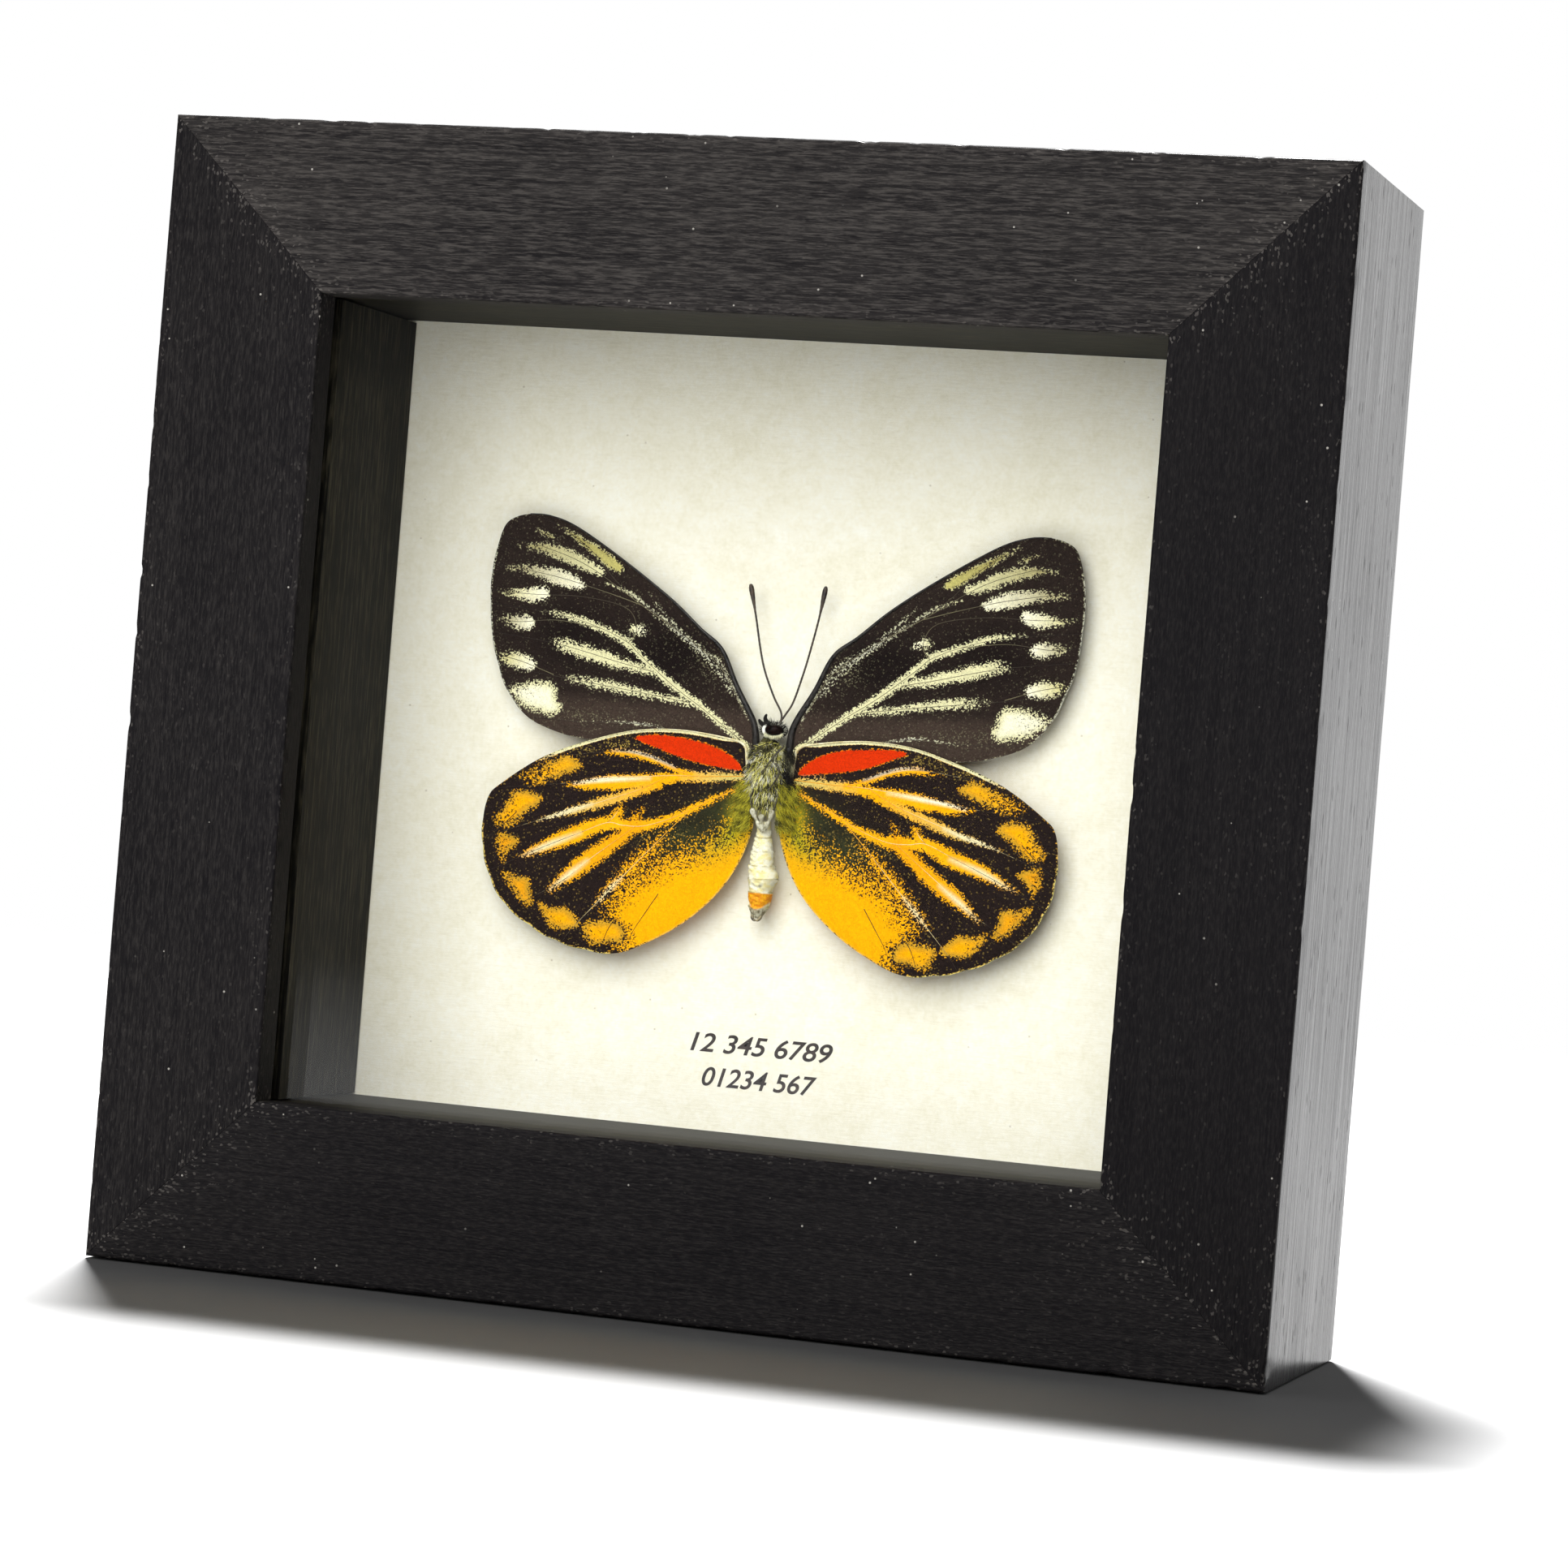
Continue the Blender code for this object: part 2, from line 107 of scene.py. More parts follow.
class Finish:
    # a material: constants go on the shader's own sockets, patterns come from node()
    def __init__(self, name, constants):
        self.material = bpy.data.materials.new(name)
        self.material.use_nodes = True
        self.tree = self.material.node_tree
        self.shader = self.tree.nodes["Principled BSDF"]
        self.output = self.tree.nodes["Material Output"]
        for socket, value in constants.items():
            self.shader.inputs[socket].default_value = value

    def node(self, kind, settings=None, inputs=None, output=0):
        made = self.tree.nodes.new(kind)
        for key, value in (settings or {}).items():
            if key == "stops":
                ramp = made.color_ramp
                for extra in value[2:]:
                    ramp.elements.new(extra[0])
                for element, (place, colour) in zip(ramp.elements, sorted(value)):
                    element.position = place
                    element.color = colour
            else:
                setattr(made, key, value)
        for key, value in (inputs or {}).items():
            self.feed(made.inputs[key], value)
        return Wire(self, made.outputs[output])

    def feed(self, socket, value):
        if isinstance(value, Wire):
            self.tree.links.new(value.socket, socket)
        else:
            socket.default_value = value

    def drive(self, **values):
        # links to the shader's sockets, such as Base_Color=...
        for key, value in values.items():
            self.feed(self.shader.inputs[key.replace("_", " ")], value)

    def place(self, scale, shift=(0, 0, 0), turn=(0, 0, 0)):
        # object coordinates, scaled so that 1 is one feature of the pattern
        spot = self.node("ShaderNodeTexCoord", output="Object")
        inputs = {"Vector": spot, "Scale": scale, "Location": shift, "Rotation": turn}
        return self.node("ShaderNodeMapping", None, inputs)

    def noise(self, size, detail=3.0, roughness=0.55, shift=(0, 0, 0), turn=(0, 0, 0)):
        # size is the length of one lump in mm along x, y and z
        scale = [1 / (part * mm) for part in size]
        inputs = {"Vector": self.place(scale, shift, turn), "Scale": 1.0}
        inputs |= {"Detail": detail, "Roughness": roughness}
        return self.node("ShaderNodeTexNoise", None, inputs)

    def cells(self, size, output, shift=(0, 0, 0), randomness=1.0):
        # output is Distance or Color of cells of that size in mm
        scale = [1 / (part * mm) for part in size]
        inputs = {"Vector": self.place(scale, shift), "Scale": 1.0, "Randomness": randomness}
        return self.node("ShaderNodeTexVoronoi", None, inputs, output)

    def part(self, colour, index=0):
        # one channel of a colour
        return self.node("ShaderNodeSeparateColor", None, {"Color": colour}, index)

    def blend(self, mask, low, high, mode="MIX"):
        settings = {"data_type": "RGBA", "blend_type": mode}
        return self.node("ShaderNodeMix", settings, {0: mask, 6: low, 7: high}, 2)

    def grey(self, value):
        # a colour with the same value in all three channels
        return self.node("ShaderNodeCombineColor", None, {0: value, 1: value, 2: value})

    def shade(self, colour, value):
        # a colour made lighter or darker by one value
        return self.blend(1.0, colour, self.grey(value), "MULTIPLY")

    def ramp(self, value, stops):
        return self.node("ShaderNodeValToRGB", {"stops": stops}, {"Fac": value})

    def attribute(self, name, output="Color"):
        return self.node("ShaderNodeAttribute", {"attribute_name": name}, None, output)

    def bump(self, height, depth, strength=1.0):
        # depth is the height of the relief in mm
        inputs = {"Height": height, "Distance": depth * mm, "Strength": strength}
        return self.node("ShaderNodeBump", None, inputs)


def shellArrays(grids):
    # Closed surfaces from an array of batch x rows x columns x 3. The columns join into rings,
    # and the first and last rows are each one point, so there is no open edge.
    batch, rows, columns = grids.shape[:3]
    first = grids[:, :1, 0]
    last = grids[:, -1:, 0]
    points = np.concatenate((first, grids[:, 1:-1].reshape(batch, -1, 3), last), axis=1)
    here = 1 + np.arange(columns)
    there = 1 + (np.arange(columns) + 1) % columns
    step = columns * np.arange(rows - 3)[:, None]
    quads = np.stack((here + step, there + step, there + step + columns, here + step + columns), -1)
    lastRing = columns * (rows - 3)
    end = np.full(columns, 1 + columns * (rows - 2))
    startFan = np.stack((np.zeros(columns, int), there, here), -1)
    endFan = np.stack((end, here + lastRing, there + lastRing), -1)
    triangles = np.concatenate((startFan, endFan))
    quads = quads.reshape(-1, 4)
    corners = points[0][np.concatenate((triangles, quads[:, :3], quads[:, [0, 2, 3]]))]
    if np.linalg.det(corners - points[0].mean(axis=0)).sum() < 0:
        quads = quads[:, ::-1]
        triangles = triangles[:, ::-1]
    offsets = points.shape[1] * np.arange(batch)[:, None, None]
    quads = (quads[None] + offsets).reshape(-1, 4)
    triangles = (triangles[None] + offsets).reshape(-1, 3)
    return points.reshape(-1, 3), quads, triangles


def shellValues(values):
    # a value for each point of shellArrays, from batch x rows x columns x parts
    batch = len(values)
    inner = values[:, 1:-1].reshape(batch, -1, values.shape[-1])
    joined = np.concatenate((values[:, :1, 0], inner, values[:, -1:, 0]), axis=1)
    return joined.reshape(-1, values.shape[-1])


def joinArrays(parts):
    # one mesh's arrays from several: each one's corners count on from the points before it
    points, quads, triangles, count = [], [], [], 0
    for partPoints, partQuads, partTriangles in parts:
        points.append(partPoints)
        quads.append(partQuads + count)
        triangles.append(partTriangles + count)
        count += len(partPoints)
    return np.concatenate(points), np.concatenate(quads), np.concatenate(triangles)


def addPiece(name, arrays, finish, replaced=(), attributes=None, smooth=True):
    # A mesh from its arrays. An attribute holds a number or a colour for each point, and
    # replaced names the frame's nodes that the piece stands in for
    points, quads, triangles = arrays
    mesh = bpy.data.meshes.new(name)
    mesh.vertices.add(len(points))
    mesh.vertices.foreach_set("co", points.astype(np.float32).ravel())
    corners = np.concatenate((quads.ravel(), triangles.ravel())).astype(np.int32)
    mesh.loops.add(len(corners))
    mesh.loops.foreach_set("vertex_index", corners)
    starts = np.concatenate((np.arange(len(quads)) * 4, quads.size + np.arange(len(triangles)) * 3))
    mesh.polygons.add(len(starts))
    mesh.polygons.foreach_set("loop_start", starts.astype(np.int32))
    mesh.update(calc_edges=True)
    for key, values in (attributes or {}).items():
        colour = values.shape[-1] == 3
        made = mesh.attributes.new(key, "FLOAT_COLOR" if colour else "FLOAT", "POINT")
        if colour:
            values = np.column_stack((values, np.ones(len(values))))
        made.data.foreach_set("color" if colour else "value", values.astype(np.float32).ravel())
    mesh.shade_smooth() if smooth else mesh.shade_flat()
    mesh.materials.append(finish.material)
    piece = bpy.data.objects.new(name, mesh)
    bpy.context.scene.collection.objects.link(piece)
    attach(piece, "root")
    if replaced:
        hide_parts(*replaced)
    return piece


def smoothPath(points, perSpan, closed=False):
    # Catmull-Rom: each span is a cubic whose ends take their slope from the points beside them
    known = np.array(points, float)
    if closed:
        padded = np.concatenate((known[-1:], known, known[:2]))
    else:
        padded = np.concatenate((known[:1], known, known[-1:]))
    before, start, end, after = padded[:-3], padded[1:-2], padded[2:-1], padded[3:]
    t = (np.arange(perSpan) / perSpan)[None, :, None]
    before, start, end, after = (part[:, None] for part in (before, start, end, after))
    curve = 2 * start + (end - before) * t
    curve = curve + (2 * before - 5 * start + 4 * end - after) * t**2
    curve = curve + (3 * start - before - 3 * end + after) * t**3
    curve = (curve / 2).reshape(-1, known.shape[1])
    return curve if closed else np.concatenate((curve, known[-1:]))


def tubeGrid(paths, radii, around=8, flatten=1.0, up=(0, 1, 0)):
    # A ring carried along each path, turned to face along it, with a rounded point at each end.
    # paths is batch x points x 3, radii is batch x points or points
    tangent = np.gradient(paths, axis=-2)
    tangent /= np.linalg.norm(tangent, axis=-1, keepdims=True) + 1e-12
    across = np.cross(tangent, np.array(up, float))
    across /= np.linalg.norm(across, axis=-1, keepdims=True) + 1e-12
    over = np.cross(across, tangent)
    angle = 2 * np.pi * np.arange(around) / around
    radii = np.broadcast_to(radii, paths.shape[:-1])[..., None, None]
    circle = np.cos(angle)[:, None] * across[..., None, :]
    circle = circle + flatten * np.sin(angle)[:, None] * over[..., None, :]
    rings = paths[..., None, :] + radii * circle
    capStart = paths[:, :1] - 0.6 * radii[:, :1, 0] * tangent[:, :1]
    capEnd = paths[:, -1:] + 0.6 * radii[:, -1:, 0] * tangent[:, -1:]
    capStart = np.repeat(capStart[:, :, None], around, axis=2)
    capEnd = np.repeat(capEnd[:, :, None], around, axis=2)
    return np.concatenate((capStart, rings, capEnd), axis=1)


def ballGrid(centre, sizes, rows=24, columns=32, lumps=0.0, lumpSize=1.0):
    # An ellipsoid about z: a half turn over the rows and a full turn over the columns,
    # swollen by slow waves so that it isn't a plain ball
    tilt = np.linspace(0, np.pi, rows)[:, None]
    turn = 2 * np.pi * np.arange(columns)[None] / columns
    unit = np.stack(
        (np.sin(tilt) * np.cos(turn), np.sin(tilt) * np.sin(turn), np.cos(tilt) + 0 * turn), -1
    )
    swell = 1 + lumps * ripple(unit / lumpSize, 3)
    return (np.array(centre) + unit * np.array(sizes) * swell[..., None])[None]


def ripple(points, seed):
    # a smooth, uneven field from -1 to 1: the mean of sine waves in several directions
    rng = np.random.default_rng(seed)
    total = 0
    for _ in range(7):
        direction = rng.normal(size=points.shape[-1]) * rng.uniform(1.5, 5)
        total = total + np.sin(points @ direction + rng.uniform(0, 6.28))
    return total / 4.2


def smoothStep(value):
    # 0 up to 0 and 1 from 1 on, with 3 v squared - 2 v cubed between them
    value = np.clip(value, 0, 1)
    return value * value * (3 - 2 * value)


def unitRows(vectors):
    # each vector divided by its own length
    return vectors / np.linalg.norm(vectors, axis=-1, keepdims=True)


def middleOf(node):
    low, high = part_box(node)
    return (np.array(low) + np.array(high)) / 2


thoraxMiddle = middleOf("thorax")
bodyX, bodyZ = thoraxMiddle[0], thoraxMiddle[2]
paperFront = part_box("backing_paper")[0].y


# Everything on a wing is in mm outwards and upwards from the middle of the thorax.
wings = {
    "root": (2.6, 1.5),
    "hinge": (2.6, 3.0),
    "turn": {"left": 0.0, "right": 2.0},  # degrees about the hinge, so that the sides differ
    "drift": {"left": 0.0, "right": 0.22},  # how far the markings wander from their places
    "speckle": 3.4,  # how much wider than its own figure the granular edge of a mark is
    "scaleSize": 0.15,
    "thickness": 0.16,
    "columns": 660,
    "rows": 112,
    "backRows": 14,
    "bowReach": 40,
    "pleatReach": 22,
    "scallopPitch": 3.9,
    "forewing": {
        "outline": (
            (2.8, 2.9), (2.6, 6.3), (5.0, 10.4), (7.1, 14.5), (10.0, 16.8), (14.0, 20.1),
            (20.0, 24.1), (26.4, 27.8), (30.0, 29.0), (32.6, 29.1), (34.7, 28.5), (35.9, 27.3),
            (36.7, 24.3), (37.0, 21.5), (36.8, 17.8), (36.2, 13.8), (35.3, 11.2), (33.8, 7.9),
            (31.0, 4.9), (27.3, 3.4), (23.0, 2.7), (14.0, 2.4), (6.0, 2.2),
        ),
        "centre": (20.0, 14.0),
        "bow": 0.55,
        "pleat": 0.07,
        "pleats": 26,
        "scallop": 0.05,
        "margin": ((36.9, 26.0), (31.0, 4.9)),
        "costa": (
            (1.9, 2.2), (2.1, 3.8), (2.6, 6.3), (5.0, 10.4), (7.1, 14.5), (10.0, 16.8), (14.0, 20.1),
            (20.0, 24.1), (26.4, 27.8), (30.0, 29.0), (32.6, 29.1),
        ),
        "costaScale": 1.0,
        "veinRadius": 0.045,
        "lineWidth": 0.86,
        "fringeTone": "greyWhite",
        "dust": (150, 143, 112),
    },
    "hindwing": {
        "outline": (
            (2.9, 3.6), (5.7, 4.2), (11.4, 4.7), (17.1, 4.2), (22.8, 2.5), (28.4, 0.1),
            (33.3, -3.3), (34.9, -5.2), (35.3, -9.0), (34.8, -12.4), (33.3, -15.7),
            (31.0, -18.3), (27.6, -20.4), (24.2, -21.7), (20.2, -22.4), (16.8, -22.3),
            (13.2, -20.7), (9.1, -18.1), (5.4, -14.6), (3.0, -10.9), (1.6, -7.0),
            (1.45, -4.8), (2.2, -1.0),
        ),
        "centre": (17.5, -8.5),
        "bow": 0.5,
        "pleat": 0.08,
        "pleats": 22,
        "scallop": 0.16,
        "margin": ((35.3, -7.0), (16.8, -22.3)),
        "costa": (
            (2.6, 0.2), (2.9, 2.0), (3.4, 3.5), (5.7, 4.15), (11.4, 4.65), (17.1, 4.15), (22.8, 2.45),
        ),
        "costaScale": 0.5,
        "veinRadius": 0.052,
        "lineWidth": 0.94,
        "fringeTone": "straw",
        "dust": (204, 172, 84),
    },
}

wingTones = {name: np.array(paint(*tone)[:3]) for name, tone in {
    "brownBlack": (41, 32, 28),
    "deepBlack": (24, 17, 16),
    "brown": (63, 51, 44),
    "cream": (222, 216, 170),
    "ivory": (246, 240, 210),
    "straw": (196, 186, 112),
    "ochre": (196, 148, 40),
    "khaki": (150, 138, 82),
    "greyWhite": (172, 170, 158),
    "orange": (246, 172, 14),
    "deepOrange": (240, 160, 12),
    "yellow": (248, 171, 3),
    "red": (208, 48, 4),
    "core": (236, 222, 176),
    "olive": (158, 152, 30),
    "darkOlive": (48, 50, 30),
    "hindBlack": (34, 25, 23),
}.items()}

# A line is (out, up, half width, strength) at each of its points. A patch is a closed outline.
# soft is the width of its granular edge, from and to are its tones at its two ends, which are
# one tone if there is no to, and fade is how far it thins out away from the wing's root.
forewingMarks = (
    {"line": ((3.2, 3.4, 0.3, 0.8), (4.3, 4.2, 0.35, 1), (8.55, 7.15, 0.42, 1), (12.8, 9.85, 0.5, 1),
              (15.9, 12.0, 0.42, 1), (18.8, 14.4, 0.42, 1), (20.5, 15.25, 0.45, 1),
              (22.75, 16.1, 0.42, 1), (25.6, 16.95, 0.35, 0.95), (27.9, 17.3, 0.25, 0.8),
              (30.2, 17.6, 0.12, 0.3)),
     "soft": 0.32, "from": "cream"},
    {"line": ((15.65, 11.4, 0.42, 1), (18.2, 11.75, 0.55, 1), (19.9, 12.1, 0.65, 1),
              (22.2, 12.65, 0.78, 1), (24.45, 13.1, 0.85, 0.95), (26.45, 13.6, 0.8, 0.8),
              (28.3, 13.9, 0.55, 0.35)),
     "soft": 0.45, "from": "cream"},
    {"line": ((10.8, 7.95, 0.25, 1), (15.1, 8.5, 0.32, 1), (17.4, 8.8, 0.4, 1),
              (19.9, 9.1, 0.5, 1), (22.2, 9.35, 0.55, 0.9), (23.9, 9.5, 0.5, 0.7),
              (26.2, 9.8, 0.4, 0.3)),
     "soft": 0.42, "from": "cream"},
    {"line": ((17.1, 16.0, 0.35, 0.75), (17.8, 16.15, 0.5, 0.95), (18.5, 16.2, 0.35, 0.75)),
     "soft": 0.5, "from": "ivory", "to": "cream"},
    {"line": ((17.8, 15.6, 0.1, 0.6), (18.5, 14.9, 0.1, 0.6)), "soft": 0.2, "from": "cream"},
    {"line": ((20.8, 23.3, 0.55, 1), (22.0, 24.0, 0.68, 1), (23.4, 24.9, 0.62, 0.95),
              (25.0, 25.75, 0.5, 0.85), (27.0, 26.9, 0.32, 0.7), (29.0, 27.9, 0.14, 0.45)),
     "soft": 0.32, "from": "straw", "to": "khaki"},
    {"line": ((29.0, 26.2, 0.1, 0.5), (30.2, 26.7, 0.22, 0.75), (32.0, 27.3, 0.08, 0.4)),
     "soft": 0.3, "from": "khaki"},
    {"line": ((23.1, 22.7, 0.42, 1), (24.5, 23.2, 0.68, 1), (26.4, 24.0, 0.8, 1),
              (28.4, 24.65, 0.8, 0.92), (30.4, 25.1, 0.62, 0.85), (32.0, 25.2, 0.4, 0.7),
              (33.8, 25.2, 0.15, 0.3)),
     "soft": 0.36, "from": "cream", "to": "khaki"},
    {"line": ((25.4, 21.0, 0.5, 1), (26.9, 21.4, 0.92, 1), (28.6, 21.8, 0.98, 1),
              (30.2, 22.1, 0.8, 0.9), (31.8, 22.4, 0.6, 0.8), (33.5, 22.5, 0.42, 0.6),
              (35.6, 22.5, 0.2, 0.2)),
     "soft": 0.36, "from": "ivory", "to": "khaki"},
    {"line": ((30.2, 19.7, 0.82, 1), (31.6, 19.45, 0.9, 0.97), (33.2, 19.4, 0.62, 0.8),
              (34.6, 19.5, 0.36, 0.6), (36.0, 19.6, 0.2, 0.2)),
     "soft": 0.36, "from": "ivory", "to": "straw"},
    {"line": ((31.7, 16.0, 0.78, 1), (32.6, 16.05, 0.9, 0.97), (34.0, 16.15, 0.62, 0.7),
              (35.6, 16.3, 0.3, 0.25)),
     "soft": 0.42, "from": "ivory", "to": "khaki"},
    {"line": ((31.1, 11.1, 0.72, 1), (32.2, 11.35, 1.0, 1), (33.6, 11.6, 0.85, 0.8),
              (35.0, 11.85, 0.45, 0.35)),
     "soft": 0.42, "from": "ivory", "to": "straw"},
    {"patch": ((32.3, 8.6), (30.4, 9.05), (28.4, 8.95), (27.6, 8.5), (27.3, 7.3), (26.7, 6.1),
               (27.6, 5.35), (29.4, 5.6), (31.3, 6.0), (33.0, 7.2), (33.4, 7.9)),
     "soft": 0.5, "from": "ivory", "to": "cream", "fade": 0.3},
    {"line": ((3.15, 6.7, 0.15, 0.55), (4.6, 9.0, 0.2, 0.65), (6.0, 11.0, 0.22, 0.6),
              (7.1, 12.7, 0.2, 0.6), (8.6, 13.9, 0.14, 0.45), (10.4, 15.3, 0.12, 0.25)),
     "soft": 0.3, "from": "greyWhite"},
    {"line": ((5.7, 9.6, 0.3, 0.45), (7.7, 12.3, 0.35, 0.5), (9.7, 14.1, 0.3, 0.65),
              (12.5, 16.1, 0.28, 0.75), (14.8, 17.6, 0.22, 0.6), (17.0, 19.0, 0.14, 0.4)),
     "soft": 0.42, "from": "greyWhite"},
    {"line": ((13.0, 17.0, 0.12, 0.4), (14.8, 18.5, 0.14, 0.55), (17.0, 20.6, 0.1, 0.3)),
     "soft": 0.3, "from": "greyWhite"},
    {"line": ((15.6, 18.0, 0.1, 0.4), (17.6, 19.5, 0.18, 0.75), (19.6, 20.6, 0.16, 0.8),
              (22.4, 21.5, 0.08, 0.45)),
     "soft": 0.26, "from": "greyWhite", "to": "cream"},
    {"line": ((13.6, 4.7, 0.05, 0.4), (16.0, 5.0, 0.16, 0.8), (19.4, 5.0, 0.12, 0.6),
              (24.0, 4.7, 0.05, 0.3)),
     "soft": 0.2, "from": "greyWhite"},
)

